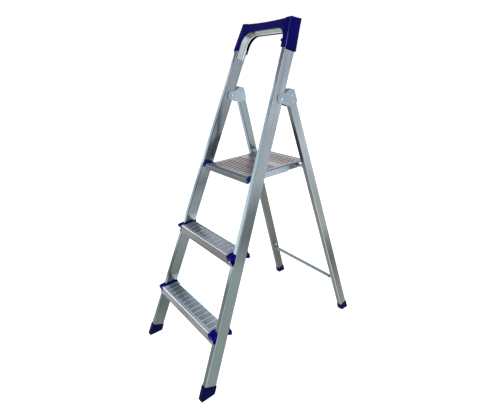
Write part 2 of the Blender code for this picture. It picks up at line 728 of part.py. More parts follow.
def cap_top(inset):
    """The cap's slightly hollow top line, from left to right."""
    points = []
    for i in range(9):
        u = -1 + i / 4
        points.append((u * (CAP_HALF_TOP - inset), CAP_TOP - inset - CAP_DIP * (1 - u * u)))
    return points


def above_cap(inset, place):
    """What lies above the cap's top, which climbs towards its back."""
    climb = CAP_RISE / (CAP_BACK - CAP_FRONT)
    tilt = Matrix(((1, 0, 0, 0), (0, 1, -climb, -climb * CAP_FRONT), (0, 0, 1, 0), (0, 0, 0, 1)))
    line = cap_top(inset)
    wide, high = 2 * CAP_HALF_TOP, CAP_TOP + 4 * CAP_RISE
    outline = [(-wide, line[0][1])] + line + [(wide, line[-1][1]), (wide, high), (-wide, high)]
    above = prism("above", [outline], -2 * CAP_BACK, CAP_BACK, place)
    above.data.transform(place @ tilt @ place.inverted())
    return above


def cap():
    """A moulded saddle over the rails' tops, open below and along its arch."""
    place = PLANE @ FRONT
    lean = (CAP_HALF_BOTTOM - CAP_HALF_TOP) / (CAP_TOP - CAP_BOTTOM)
    high = CAP_TOP + 2 * CAP_RISE
    narrow = CAP_HALF_BOTTOM - lean * (high - CAP_BOTTOM)
    outline = [(-CAP_HALF_BOTTOM, CAP_BOTTOM), (-narrow, high), (narrow, high),
               (CAP_HALF_BOTTOM, CAP_BOTTOM)]
    outline += [tuple(p) for p in reversed(arch(ARCH_INSET, CAP_BOTTOM))]
    shell = prism("top_cap", [outline], -CAP_BACK, -CAP_FRONT, place)
    cut(shell, above_cap(0, place))
    soften(shell, 0.0015)
    half, narrow = CAP_HALF_BOTTOM - CAP_WALL, narrow - CAP_WALL
    hollow = [(-half, CAP_BOTTOM), (-narrow, high), (narrow, high), (half, CAP_BOTTOM),
              (half, CAP_BOTTOM - 0.03), (-half, CAP_BOTTOM - 0.03)]
    inside = prism("hollow", [hollow], -CAP_BACK + CAP_WALL, -CAP_FRONT - CAP_WALL, place)
    cut(inside, above_cap(CAP_WALL, place))
    cut(shell, inside)
    lip = strip(arch(ARCH_INSET, CAP_BOTTOM), CAP_WALL)
    wall_inside = -CAP_FRONT - CAP_WALL
    join(shell, prism("lip", [lip], -HOOP_FRONT + GAP, wall_inside + GAP, place))
    bosses = []
    middle = (HOOP_FRONT + HOOP_BACK) / 2
    for place in cap_screw_places():
        x = place.translation.x
        base = PLANE @ Matrix.Translation((x, middle, HOOP_CROWN + GAP))
        rise = CAP_RISE * (middle - CAP_FRONT) / (CAP_BACK - CAP_FRONT)
        height = CAP_TOP - CAP_DIP - 0.45 * CAP_WALL - HOOP_CROWN - GAP + rise
        profile = [(0, height), (0.0038, height), (0.005, 0), (0.0024, 0), (0.0024, 0.018),
                   (0, 0.018)]
        bosses.append(turned("boss", profile, base, 20))
    for boss in bosses:
        join(shell, boss)
    return shell


def cap_liners():
    """Black wedges between the cap and the rails' outer sides."""
    face = RAIL_WIDTH / 2 + GAP
    outline = [(-GAP, CAP_BOTTOM - 0.0058), (RAIL_DEPTH + GAP, CAP_BOTTOM - 0.0005),
               (RAIL_DEPTH + GAP, LINER_TOP), (-GAP, LINER_TOP)]
    wedge = prism("liner", [outline], face, face + LINER_THICK, RAIL @ SIDE)
    return both_sides(wedge, "cap_liner")


def hoop_buffer():
    """A black rubber stop square to the hoop, on its right-hand bend."""
    path = [p for p in arch(0, HOOP_START) if p.x > 0]
    nearest = min(range(1, len(path) - 1), key=lambda i: abs(path[i].y - BUFFER_ALONG))
    run = (path[nearest + 1] - path[nearest - 1]).normalized()
    inward = Vector((run.y, 0, -run.x))
    origin = Vector((path[nearest].x, BUFFER_IN, path[nearest].y)) + inward * 3 * GAP
    side = Vector((0, 1, 0))
    axes = Matrix((side, inward.cross(side), inward)).transposed().to_4x4()
    radius, length = BUFFER_RADIUS, BUFFER_LENGTH
    profile = [(0, length), (radius - 0.0022, length - 0.0004), (radius - 0.0005, length - 0.0024),
               (radius, length - 0.0060), (radius, 0), (0, 0)]
    return turned("hoop_buffer", profile, PLANE @ Matrix.Translation(origin) @ axes, 24)


# ---- assembly -----------------------------------------------------------------------------
REAR_FRAME = ("rear_leg", "rear_foot", "rear_brace", "brace_rivet", "pivot_bracket",
              "bracket_rivet", "leg_pin", "leg_bush")


def hang(pieces):
    """Centres the stool over the origin and hangs each moving piece on its joint's axis."""
    ends = [v.co.y for piece in pieces for v in piece.data.vertices]
    middle = (min(ends) + max(ends)) / 2
    axes = {}
    for name, y, z in (("front_frame", middle, 0), ("rear_frame_fold", FOLD.y, FOLD.z),
                       ("platform_fold", HINGE_Y, HINGE_Z), ("link_fold", LINK_Y, HINGE_Z)):
        empty = bpy.data.objects.new(name, None)
        empty.location = (0, y - middle, z)
        PARTS.objects.link(empty)
        axes[name] = empty
    axes["link_fold"].parent = axes["platform_fold"]
    axes["link_fold"].location -= axes["platform_fold"].location
    for piece in pieces:
        if piece.name.startswith(REAR_FRAME):
            joint, y, z = "rear_frame_fold", FOLD.y, FOLD.z
        elif piece.name.startswith("link_") and not piece.name.startswith("link_rivet"):
            joint, y, z = "link_fold", LINK_Y, HINGE_Z
        elif piece.name.startswith("link_rivet") or piece.name == "platform":
            joint, y, z = "platform_fold", HINGE_Y, HINGE_Z
        else:
            joint, y, z = "front_frame", middle, 0
        piece.data.transform(Matrix.Translation((0, -y, -z)))
        piece.parent = axes[joint]


def build():
    steel = [*front_rails(), *rear_legs(), platform(), *links(), *brackets(), brace(), hoop()]
    steel += [tread(name, height) for name, height in TREAD_HEIGHTS.items()]
    blue = [*foot("front_foot", RAIL_WIDTH, RAIL_DEPTH, RAIL, RAIL_START - GAP, 0.044)]
    blue += foot("rear_foot", LEG_WIDTH, LEG_DEPTH, LEG, LEG_START - GAP, 0.021)
    for name, height in TREAD_HEIGHTS.items():
        blue += shoes(name.replace("step", "shoe"), height)
    blue += [*platform_blocks(), cap()]
    black = [*cap_liners(), hoop_buffer()]
    bright = [*tread_rivets(), *hinge_pins(), *link_rivets(), *leg_pins(), *leg_bushes()]
    bright += [*pivot_pins(), *bracket_rivets(), *brace_rivets(), *hoop_rivets(), *cap_screws()]
    for kind, pieces in (("galvanised_steel", steel), ("blue_plastic", blue),
                         ("black_plastic", black), ("rivet_steel", bright)):
        for piece in pieces:
            finish(piece, kind)
    hang(steel + blue + black + bright)


for old in list(bpy.data.objects):
    bpy.data.objects.remove(old)
PARTS = collection("step_stool")
CUTTERS = collection("cutters")
build()
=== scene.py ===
"""Looks of the folding three-tread step stool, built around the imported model."""

import json
import math

import bmesh
import bpy
from mathutils import Matrix, Vector

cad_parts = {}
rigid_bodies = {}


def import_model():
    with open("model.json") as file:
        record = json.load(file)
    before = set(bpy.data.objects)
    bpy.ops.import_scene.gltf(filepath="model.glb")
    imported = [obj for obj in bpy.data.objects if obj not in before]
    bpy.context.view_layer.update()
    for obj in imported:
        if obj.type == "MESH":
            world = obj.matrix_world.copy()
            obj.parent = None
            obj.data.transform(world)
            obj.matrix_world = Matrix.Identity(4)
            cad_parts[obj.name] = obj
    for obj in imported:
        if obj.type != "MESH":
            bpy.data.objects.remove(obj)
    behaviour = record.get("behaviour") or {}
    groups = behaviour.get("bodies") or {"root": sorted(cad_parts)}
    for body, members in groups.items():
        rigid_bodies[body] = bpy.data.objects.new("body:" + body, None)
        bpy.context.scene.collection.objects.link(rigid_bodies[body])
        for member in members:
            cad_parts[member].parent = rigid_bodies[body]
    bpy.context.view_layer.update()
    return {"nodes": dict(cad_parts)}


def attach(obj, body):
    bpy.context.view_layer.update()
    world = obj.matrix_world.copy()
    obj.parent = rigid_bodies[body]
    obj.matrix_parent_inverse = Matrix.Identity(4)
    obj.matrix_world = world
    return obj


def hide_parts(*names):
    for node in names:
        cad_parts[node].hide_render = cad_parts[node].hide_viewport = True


for old in list(bpy.data.objects):
    bpy.data.objects.remove(old)

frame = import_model()
NODES = frame["nodes"]

# ---- the stool's dimensions, as its source has them ---------------------------------------
MIDDLE = 0.35535255                 # from the rails' foot line to the middle of the stool
GAP, SHEET = 0.0003, 0.0012         # between neighbours, and the pressed steel's thickness
FRONT_LEAN, REAR_LEAN = math.radians(24.0), math.radians(13.0)
RAIL_TAPER, RAIL_SPREAD, LEG_SPREAD, BASE = 0.063, 0.214, 0.2095, 0.678
RAIL_WIDTH, RAIL_DEPTH, LEG_WIDTH, LEG_DEPTH = 0.020, 0.0435, 0.021, 0.032
RAIL_START, RAIL_END, LEG_START = 0.0256, 1.190, 0.0040
TREAD_HEIGHTS = {"step_lower": 0.1987, "step_upper": 0.4327}
TREAD_OVERHANG, TREAD_DEPTH, NOSING_HEIGHT, TREAD_BACK = 0.021, 0.063, 0.036, 0.020
SHOE_WALL = 0.0095
TAB_DROP, TAB_REACH = 0.0220, 0.012
PLATFORM_HEIGHT, PLATFORM_WIDTH, PLATFORM_BACK = 0.660, 0.250, 0.577
PLATFORM_FRONT, NOSE_WIDTH, FLANGE_HEIGHT = 0.2905, 0.269, 0.024
LIP_HEIGHT, FLANGE_BACK = 0.0048, 0.482
PIVOT_ALONG, PIVOT_IN = 1.004, 0.032
CAP_BOTTOM, CAP_TOP, CAP_WALL = 1.171, 1.2755, 0.002
CAP_HALF_BOTTOM, CAP_HALF_TOP = 0.1510, 0.1350
CAP_FRONT, CAP_BACK, CAP_DIP, CAP_RISE = -0.0036, 0.0464, 0.0050, 0.0120
HOOP_CROWN, HOOP_CORNER, HOOP_START = 1.2430, 0.047, 1.143
HOOP_FRONT, HOOP_BACK, HOOP_THICK = 0.004, 0.034, 0.002
ARCH_INSET = 0.0004

# In a tube's frame x is across it, y in from its front face and z along it. MOVED puts the
# middle of the stool over the origin.
MOVED = Matrix.Translation((0, -MIDDLE, 0))
TURN_OVER = Matrix.Scale(-1, 4, (1, 0, 0))


def tube_frame(origin, run, inward):
    """A tube's place, from its foot, its direction and the way in from its front face."""
    z = Vector(run).normalized()
    y = Vector(inward).normalized()
    axes = Matrix((y.cross(z), y, z)).transposed().to_4x4()
    return MOVED @ Matrix.Translation(origin) @ axes


RAIL = tube_frame((RAIL_SPREAD - RAIL_WIDTH / 2, 0, 0), (-RAIL_TAPER, math.tan(FRONT_LEAN), 1),
                  (0, math.cos(FRONT_LEAN), -math.sin(FRONT_LEAN)))
PLANE = MOVED @ Matrix.Rotation(-FRONT_LEAN, 4, "X")
FOLD = Matrix.Rotation(-FRONT_LEAN, 4, "X") @ Vector((0, PIVOT_IN, PIVOT_ALONG))
LEG_PAST_FOLD = 0.0075
RAIL_CLOSING = RAIL_TAPER * math.cos(FRONT_LEAN)
RAIL_AT_FOLD = RAIL_SPREAD - RAIL_WIDTH / 2 - RAIL_CLOSING * PIVOT_ALONG
LEG_REACH = math.cos(REAR_LEAN) * FOLD.z + math.sin(REAR_LEAN) * (BASE - FOLD.y)
LEG_CLOSING = (LEG_SPREAD - LEG_WIDTH / 2 - RAIL_AT_FOLD) / LEG_REACH
LEG_TAPER = LEG_CLOSING / math.cos(REAR_LEAN)
LEG = tube_frame((LEG_SPREAD - LEG_WIDTH / 2, BASE, 0), (-LEG_TAPER, -math.tan(REAR_LEAN), 1),
                 (0, math.cos(REAR_LEAN), math.sin(REAR_LEAN)))
LEG_TOP = (LEG.inverted() @ MOVED @ Vector((RAIL_AT_FOLD, FOLD.y, FOLD.z))).z
LEG_TOP += LEG_PAST_FOLD


def tread_line(height):
    """How far back the rails' front edges are at this height, measured before the move."""
    return height * math.tan(FRONT_LEAN)


def rail_inner(y, z):
    """The right-hand rail's inner face at this y and z, measured before the move."""
    along = math.cos(FRONT_LEAN) * z + math.sin(FRONT_LEAN) * y
    return RAIL_SPREAD - RAIL_WIDTH - RAIL_CLOSING * along


# ---- camera -------------------------------------------------------------------------------
CAMERA_AT = (1.1195, -0.75805, 1.0478)
YAW, PITCH, ROLL = math.radians(53.2577), math.radians(15.6795), math.radians(-3.6967)
LENS = 27.80
SHIFT = (-0.0166, -0.0921)


def make_camera():
    """The camera stands in front of the stool, to its right, and looks down on its platform."""
    data = bpy.data.cameras.new("camera")
    data.lens = LENS
    data.sensor_width = 36.0
    data.sensor_fit = "HORIZONTAL"
    data.shift_x, data.shift_y = SHIFT
    camera = bpy.data.objects.new("camera", data)
    bpy.context.scene.collection.objects.link(camera)
    turn = Matrix.Rotation(YAW, 3, "Z") @ Matrix.Rotation(math.pi / 2 - PITCH, 3, "X")
    turn = turn @ Matrix.Rotation(ROLL, 3, "Z")
    camera.matrix_world = Matrix.Translation(CAMERA_AT) @ turn.to_4x4()
    bpy.context.scene.camera = camera


# ---- materials ----------------------------------------------------------------------------
TONE_TOP = 1.2                      # the height at which a ramp of tones ends
GRAIN_DEPTH = 0.0002


class Shader:
    """A small wrapper that adds nodes to one material and links them."""

    def __init__(self, name, colour, roughness, metallic=0.0):
        self.material = bpy.data.materials.new(name)
        self.material.use_nodes = True
        self.tree = self.material.node_tree
        self.main = self.tree.nodes["Principled BSDF"]
        self.main.inputs["Base Color"].default_value = (*colour, 1)
        self.main.inputs["Roughness"].default_value = roughness
        self.main.inputs["Metallic"].default_value = metallic
        self.place = self.tree.nodes.new("ShaderNodeTexCoord").outputs["Object"]

    def node(self, kind, **values):
        made = self.tree.nodes.new("ShaderNode" + kind)
        for key, value in values.items():
            if key in made.inputs:
                made.inputs[key].default_value = value
            else:
                setattr(made, key, value)
        return made

    def link(self, output, target):
        self.tree.links.new(output, target)

    def stretched(self, scale, turn=(0.0, 0.0, 0.0)):
        """The object's coordinates turned, then scaled along each axis."""
        turned = self.node("Mapping")
        turned.inputs["Rotation"].default_value = turn
        self.link(self.place, turned.inputs["Vector"])
        mapping = self.node("Mapping")
        mapping.inputs["Scale"].default_value = scale
        self.link(turned.outputs["Vector"], mapping.inputs["Vector"])
        return mapping.outputs["Vector"]

    def noise(self, scale, detail=3.0, roughness=0.5, where=None):
        made = self.node("TexNoise", Scale=scale, Detail=detail, Roughness=roughness)
        self.link(where or self.place, made.inputs["Vector"])
        return made.outputs["Fac"]

    def cells(self, scale, where=None):
        made = self.node("TexVoronoi", Scale=scale)
        self.link(where or self.place, made.inputs["Vector"])
        return made.outputs["Color"]

    def upright(self, vector):
        """The z of a vector."""
        parts = self.node("SeparateXYZ")
        self.link(vector, parts.inputs["Vector"])
        return parts.outputs["Z"]

    def height(self):
        """How high the point is, in metres."""
        return self.upright(self.place)

    def facing_up(self):
        """The z of the surface's normal."""
        return self.upright(self.node("TexCoord").outputs["Normal"])

    def by_height(self, reflection_tones):
        """A grey that changes with height, used for painted reflections: pairs of height in
        metres and tone.
        """
        ramp = self.node("ValToRGB")
        elements = ramp.color_ramp.elements
        while len(elements) < len(reflection_tones):
            elements.new(0.5)
        for element, (at, tone) in zip(elements, reflection_tones):
            element.position, element.color = at / TONE_TOP, (tone, tone, tone, 1)
        self.link(self.spread(self.height(), 0.0, 1.0, 0.0, TONE_TOP), ramp.inputs["Fac"])
        return ramp.outputs["Color"]

    def mix(self, factor, first, second, mode="MIX"):
        made = self.node("Mix", data_type="RGBA", blend_type=mode)
        for value, socket in ((factor, made.inputs[0]), (first, made.inputs[6]),
                              (second, made.inputs[7])):
            if isinstance(value, bpy.types.NodeSocket):
                self.link(value, socket)
            else:
                socket.default_value = value if socket.type == "VALUE" else (*value, 1)
        return made.outputs[2]

    def spread(self, factor, low, high, bottom=0.3, top=0.7):
        """The factor's bottom..top stretched to low..high."""
        made = self.node("MapRange")
        made.inputs["From Min"].default_value = bottom
        made.inputs["From Max"].default_value = top
        made.inputs["To Min"].default_value = low
        made.inputs["To Max"].default_value = high
        self.link(factor, made.inputs["Value"])
        return made.outputs["Result"]

    def colour(self, output):
        self.link(output, self.main.inputs["Base Color"])

    def rough(self, output):
        self.link(output, self.main.inputs["Roughness"])

    def bump(self, height, strength, distance):
        made = self.node("Bump", Strength=strength, Distance=distance)
        self.link(height, made.inputs["Height"])
        self.link(made.outputs["Normal"], self.main.inputs["Normal"])


SPANGLE, STREAKS, BLOOM_SCALE, GRAIN = 140.0, 70.0, 7.0, 120.0
BLOOM, SHADOWED = (0.66, 0.70, 0.73), (0.02, 0.02, 0.02)
LOW_TINT_FADES = (0.35, 1.00)       # heights between which the low tint gives way


def scaled(colour, factor):
    """A colour made darker or lighter."""
    return tuple(min(1.0, factor * c) for c in colour)


def galvanised(name, tint, rough, streak=(1.0, 1.0, 1.0), turn=(0.0, 0.0, 0.0), low_tint=None,
               broad=None, reflection_tones=None, mottle=0.5, shade_above=0.0):
    """Zinc-coated sheet: faint spangle, drawn streaks and a thin bloom.

    streak and broad stretch the streaks and the bloom along a turned axis. low_tint is the
    colour lower down, reflection_tones painted reflections as a grey that changes with height,
    mottle the depth of the streaks, and shade_above how much is left of the colour where the
    sheet faces up, the rest going to painted shade."""
    made = Shader(name, tint, rough, 1.0)
    dark, pale = scaled(tint, 0.66), scaled(tint, 1.22)
    spangle = made.spread(made.cells(SPANGLE), 0.0, 1.0)
    base = made.mix(0.10, tint, made.mix(spangle, dark, pale))
    lines = made.stretched(streak, turn)
    streaks = made.noise(STREAKS, 2.0, 0.5, lines)
    base = made.mix(made.spread(streaks, 0.0, mottle), base, dark)
    if low_tint:
        down = made.spread(made.height(), 1.0, 0.0, *LOW_TINT_FADES)
        base = made.mix(down, base, made.mix(made.spread(streaks, 0.0, 0.5), low_tint,
                                             scaled(low_tint, 0.78)))
    bloom = made.noise(BLOOM_SCALE, 3.0, 0.5, made.stretched(broad, turn) if broad else None)
    base = made.mix(made.spread(bloom, 0.0, 0.55), base,
                    made.mix(1.0, base, BLOOM, "MULTIPLY"))
    # Painted reflections: the colour made lighter or darker with height.
    if reflection_tones:
        base = made.mix(1.0, base, made.by_height(reflection_tones), "MULTIPLY")
    # Painted shade on the faces turned up.
    if shade_above:
        upward = made.spread(made.facing_up(), 0.0, 1.0 - shade_above, 0.3, 0.6)
        base = made.mix(upward, base, SHADOWED)
    made.colour(base)
    made.rough(made.spread(bloom, rough - 0.03, rough + 0.05))
    made.bump(made.noise(GRAIN, 2.0, 0.5, lines), 0.02, GRAIN_DEPTH)
    return made.material


PLASTIC_GLOSS = 0.02


def plastic(name, colour, rough):
    """Moulded plastic: fine eroded grain, slight tone drift and scuffed gloss."""
    made = Shader(name, colour, rough)
    made.main.inputs["Specular IOR Level"].default_value = PLASTIC_GLOSS
    pale = tuple(min(1.0, 1.4 * c + 0.0005) for c in colour)
    drift = made.spread(made.noise(14.0, 4.0, 0.6), 0.0, 1.0)
    made.colour(made.mix(drift, colour, pale))
    made.rough(made.spread(made.noise(60.0, 4.0, 0.65), rough - 0.06, rough + 0.10))
    made.bump(made.noise(900.0, 2.0, 0.5), 0.12, GRAIN_DEPTH)
    return made.material


def bright_steel(name):
    """Zinc-plated rivets and pins, turned and slightly dulled."""
    made = Shader(name, (0.46, 0.48, 0.50), 0.26, 1.0)
    wear = made.spread(made.noise(160.0, 4.0, 0.6), 0.0, 1.0)
    made.colour(made.mix(wear, (0.38, 0.40, 0.42), (0.54, 0.56, 0.58)))
    made.rough(made.spread(made.noise(240.0, 3.0, 0.6), 0.18, 0.36))
    made.bump(made.noise(900.0, 2.0, 0.5), 0.10, GRAIN_DEPTH)
    return made.material


# A tube's material is turned upright, so that its streaks run along it. The painted reflections
# are pairs of a height and a grey, making each side, and the rails' front faces, lighter or
# darker.
DRAWN, LONG = (1.0, 1.0, 0.03), (1.0, 1.0, 0.45)
RAIL_TURN, LEG_TURN = (FRONT_LEAN, 0.0, 0.0), (-REAR_LEAN, 0.0, 0.0)
SIDE_REFLECTIONS = {
    "right": ((0.05, 0.44), (0.28, 0.42), (0.36, 0.46), (0.41, 0.33), (0.48, 0.20), (0.55, 0.22),
              (0.61, 0.39), (0.66, 0.50), (0.80, 0.43), (0.88, 0.54), (1.0, 0.46)),
    "left": ((0.05, 0.33), (0.12, 0.24), (0.188, 0.26), (0.196, 0.80), (0.222, 0.60),
             (0.232, 0.28), (0.36, 0.40), (0.422, 0.42), (0.430, 0.80), (0.455, 0.62),
             (0.466, 0.42), (0.53, 0.34), (0.58, 0.22), (0.655, 0.38), (0.665, 0.65),
             (0.74, 0.33), (0.82, 0.26), (0.90, 0.33), (1.0, 0.30)),
}
FRONT_REFLECTIONS = {
    "right": ((0.05, 0.24), (0.16, 0.27), (0.26, 0.46), (0.33, 0.35), (0.37, 0.50),
              (0.41, 0.66), (0.50, 0.58), (0.60, 0.56), (0.72, 0.43), (0.80, 0.29),
              (0.90, 0.26), (0.95, 0.56), (1.05, 0.42)),
    "left": ((0.05, 0.33), (0.16, 0.30), (0.26, 0.50), (0.33, 0.30), (0.37, 0.55),
             (0.43, 0.55), (0.50, 0.75), (0.60, 0.80), (0.66, 0.50), (0.72, 0.30),
             (0.82, 0.22), (0.92, 0.17), (1.05, 0.15)),
}
RAIL_STEEL, RAIL_FRONT = [
    {side: galvanised("_".join((name, side)), (0.74, 0.83, 0.95), 0.16, DRAWN, RAIL_TURN,
                      (0.41, 0.49, 0.48), LONG, reflection_tones[side]) for side in ("right", "left")}
    for name, reflection_tones in (("rail_steel", SIDE_REFLECTIONS), ("rail_front", FRONT_REFLECTIONS))
]
# Painted reflections on the rear legs, by height, for each side.
LEG_REFLECTIONS = {
    "right": ((0.06, 0.70), (0.17, 0.52), (0.27, 0.37), (0.32, 0.50), (0.40, 0.82), (0.51, 0.80),
              (0.62, 0.83), (0.74, 0.97), (0.85, 0.80)),
    "left": ((0.10, 0.40), (0.28, 0.48), (0.40, 0.45), (0.52, 0.40), (0.62, 0.60), (0.74, 0.68),
             (0.85, 0.66)),
}
LEG_STEEL = {side: galvanised("leg_steel_" + side, (0.44, 0.52, 0.58), 0.20, DRAWN, LEG_TURN,
                              (0.26, 0.28, 0.255), LONG, reflection_tones)
             for side, reflection_tones in LEG_REFLECTIONS.items()}
# The rear legs' faces turned forward are darkened: a painted reflection of the darker room in
# front.
LEG_FRONT_REFLECTION = galvanised("leg_front_reflection", (0.15, 0.145, 0.135), 0.24, DRAWN, LEG_TURN)
# The tubes' front corners in painted light: a lighter copy on the right-hand tubes, a copy in
# painted shade on the left-hand ones.
CORNER_LIT_AND_SHADED = {"right": galvanised("corner_lit_steel_right", (0.36, 0.42, 0.46), 0.36, mottle=0.2),
                "left": galvanised("corner_shaded_steel_left", (0.17, 0.205, 0.23), 0.36, mottle=0.2)}
LOWER_STEEL = galvanised("lower_tread_steel", (0.38, 0.445, 0.51), 0.25, mottle=0.05)
UPPER_STEEL = galvanised("upper_tread_steel", (0.35, 0.37, 0.44), 0.25, mottle=0.05)
PANEL_STEEL = galvanised("platform_steel", (0.42, 0.365, 0.385), 0.28, mottle=0.1)
RIM_STEEL = galvanised("platform_rim_steel", (0.15, 0.185, 0.225), 0.24, mottle=0.2)
HOLE_DARK = plastic("punched_shadow", (0.085, 0.105, 0.135), 0.8)
SLOT_DARK = plastic("slot_shadow", (0.010, 0.009, 0.013), 0.8)
# A painted highlight on the ribs' crests and along the treads' front edge.
CREST_HIGHLIGHT = galvanised("crest_highlight_steel", (0.80, 0.88, 0.96), 0.28, mottle=0.1)
# The noses' front faces are darkened: a painted reflection of the darker room in front.
NOSE_REFLECTION = galvanised("tread_nose_reflection_steel", (0.115, 0.112, 0.103), 0.26, mottle=0.15)
PLATFORM_NOSE_REFLECTION = galvanised("platform_nose_reflection_steel", (0.105, 0.120, 0.112), 0.22, mottle=0.15)
# The brackets' faces turned up are darkened with painted shade.
BRACKET_STEEL = galvanised("bracket_steel", (0.30, 0.36, 0.42), 0.26, mottle=0.2,
                           shade_above=0.25)
HOOP_STEEL = galvanised("hoop_steel", (0.40, 0.43, 0.43), 0.26, mottle=0.1)
ROOF_STEEL = galvanised("hoop_roof_steel", (0.15, 0.17, 0.155), 0.24, mottle=0.2)
# A painted highlight on the hoop's rolled rear bead.
BEAD_HIGHLIGHT = galvanised("hoop_bead_highlight_steel", (0.62, 0.66, 0.68), 0.40, mottle=0.1)
BRACE_STEEL = galvanised("brace_steel", (0.20, 0.24, 0.26), 0.24, mottle=0.2)
FOOT_BLUE = plastic("foot_plastic", (0.0010, 0.0012, 0.034), 0.42)
SHOE_BLUE = plastic("shoe_plastic", (0.0006, 0.0010, 0.105), 0.34)
CAP_BLUE = plastic("cap_plastic", (0.0010, 0.0012, 0.072), 0.34)
# A painted highlight down the cap's front outer corners.
CAP_EDGE_HIGHLIGHT = plastic("cap_edge_highlight_plastic", (0.09, 0.13, 0.36), 0.30)
# Near black for the cap liner: painted shade in the gap under the cap's edge.
LINER_SHADE = plastic("black_plastic", (0.003, 0.003, 0.004), 0.5)
RUBBER = plastic("black_rubber", (0.003, 0.003, 0.004), 0.7)
RIVET_STEEL = bright_steel("rivet_steel")


# ---- outlines -----------------------------------------------------------------------------
def arc(centre, radius, start, end, steps):
    """Points round an arc between two angles in degrees."""
    turns = [math.radians(start + (end - start) * i / steps) for i in range(steps + 1)]
    return [Vector((centre[0] + radius * math.cos(a), centre[1] + radius * math.sin(a)))
            for a in turns]


def rounded_rectangle(low, high, radius, steps=6):
    """A rectangle between two corners, its own corners rounded."""
    (x0, y0), (x1, y1) = low, high
    points = []
    for x, y, start in ((x1, y0, -90), (x1, y1, 0), (x0, y1, 90), (x0, y0, 180)):
        centre = (x - radius if x == x1 else x + radius, y - radius if y == y1 else y + radius)
        points += arc(centre, radius, start, start + 90, steps)
    return points


def rounded(points, radii, steps=6):
    """An open path with each inner corner turned into an arc of its radius."""
    path = [Vector(points[0])]
    for i, radius in enumerate(radii, 1):
        before, here, after = (Vector(points[j]) for j in (i - 1, i, i + 1))
        inward, outward = (before - here).normalized(), (after - here).normalized()
        half = inward.angle(outward) / 2
        reach = radius / math.tan(half)
        centre = here + (inward + outward).normalized() * radius / math.sin(half)
        first, last = here + inward * reach, here + outward * reach
        turn = (first - centre).angle_signed(last - centre)
        for step in range(steps + 1):
            path.append(centre + Matrix.Rotation(-turn * step / steps, 2) @ (first - centre))
    path.append(Vector(points[-1]))
    return path


def offset(path, distance):
    """The path moved to its left."""
    moved = []
    for i, here in enumerate(path):
        before = (here - path[i - 1]).normalized() if i else (path[1] - here).normalized()
        after = (path[i + 1] - here).normalized() if i + 1 < len(path) else before
        normal = Vector((-(before + after).y, (before + after).x)).normalized()
        mitre = 1 / max(0.3, normal.dot(Vector((-after.y, after.x))))
        moved.append(here + normal * distance * mitre)
    return moved


def divided(path, length):
    """The path with its long runs cut into equal lengths no longer than this."""
    made = [path[0]]
    for here, after in zip(path, path[1:]):
        count = max(1, math.ceil((after - here).length / length))
        made += [here.lerp(after, k / count) for k in range(1, count + 1)]
    return made


# ---- building pieces ----------------------------------------------------------------------
def loft(rings, around=True, ends=True):
    """A skin over rings of points; each ring closes on itself unless around is off."""
    work = bmesh.new()
    grid = [[work.verts.new(p) for p in ring] for ring in rings]
    count = len(rings[0])
    for near, far in zip(grid, grid[1:]):
        for i in range(count if around else count - 1):
            k = (i + 1) % count
            work.faces.new((near[i], near[k], far[k], far[i]))
    if ends:
        work.faces.new(list(reversed(grid[0])))
        work.faces.new(grid[-1])
    return work


def merge(target, source):
    """Adds one bmesh to another."""
    mesh = bpy.data.meshes.new("part")
    source.to_mesh(mesh)
    source.free()
    target.from_mesh(mesh)
    bpy.data.meshes.remove(mesh)
    return target


def soften(obj, width, segments):
    """Rounds an object's sharp edges."""
    soft = obj.modifiers.new("edges", "BEVEL")
    soft.width, soft.segments, soft.limit_method = width, segments, "ANGLE"
    soft.angle_limit = math.radians(30)
    soft.harden_normals = True


def piece(name, work, material, body, replaces=(), bevel=0.0, crease=40.0, others=(),
          choose=None):
    """Finishes a bmesh as a shown piece: one object, shaded by angle, riding on a body.

    choose gives the number of a face's material, among the first and the others."""
    bmesh.ops.recalc_face_normals(work, faces=work.faces)
    if choose:
        work.normal_update()
        for face in work.faces:
            face.material_index = choose(face.calc_center_median(), face.normal)
    mesh = bpy.data.meshes.new(name)
    work.to_mesh(mesh)
    work.free()
    mesh.shade_smooth()
    mesh.set_sharp_from_angle(angle=math.radians(crease))
    for each in (material, *others):
        mesh.materials.append(each)
    obj = bpy.data.objects.new(name, mesh)
    bpy.context.scene.collection.objects.link(obj)
    if bevel:
        soften(obj, bevel, 3)
    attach(obj, body)
    if replaces:
        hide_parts(*replaces)
    return obj


TUBE_SIDE, TUBE_FRONT, TUBE_CORNER = range(3)


def turned_forward(centre, normal):
    """Picks the faces turned forward and the corners beside them."""
    if normal.y < -0.88:
        return TUBE_FRONT
    return TUBE_CORNER if normal.y < -0.12 else TUBE_SIDE


def pair(name, build, material, body, bevel=0.0, front=None):
    """A right-hand piece and its mirror image, each standing for the node of its name.

    A material is given for both sides or by side, and front is for the faces turned forward."""
    for side, place in (("right", Matrix.Identity(4)), ("left", TURN_OVER)):
        work = build()
        work.transform(place)
        full = name + "_" + side
        main, other = [each[side] if isinstance(each, dict) else each
                       for each in (material, front)]
        piece("skin_" + full, work, main, body, [full], bevel,
              others=[other, CORNER_LIT_AND_SHADED[side]] if front else [],
              choose=turned_forward if front else None)


# ---- tubes --------------------------------------------------------------------------------
TUBE_ROUND, TUBE_LENGTHS = 0.0030, 24


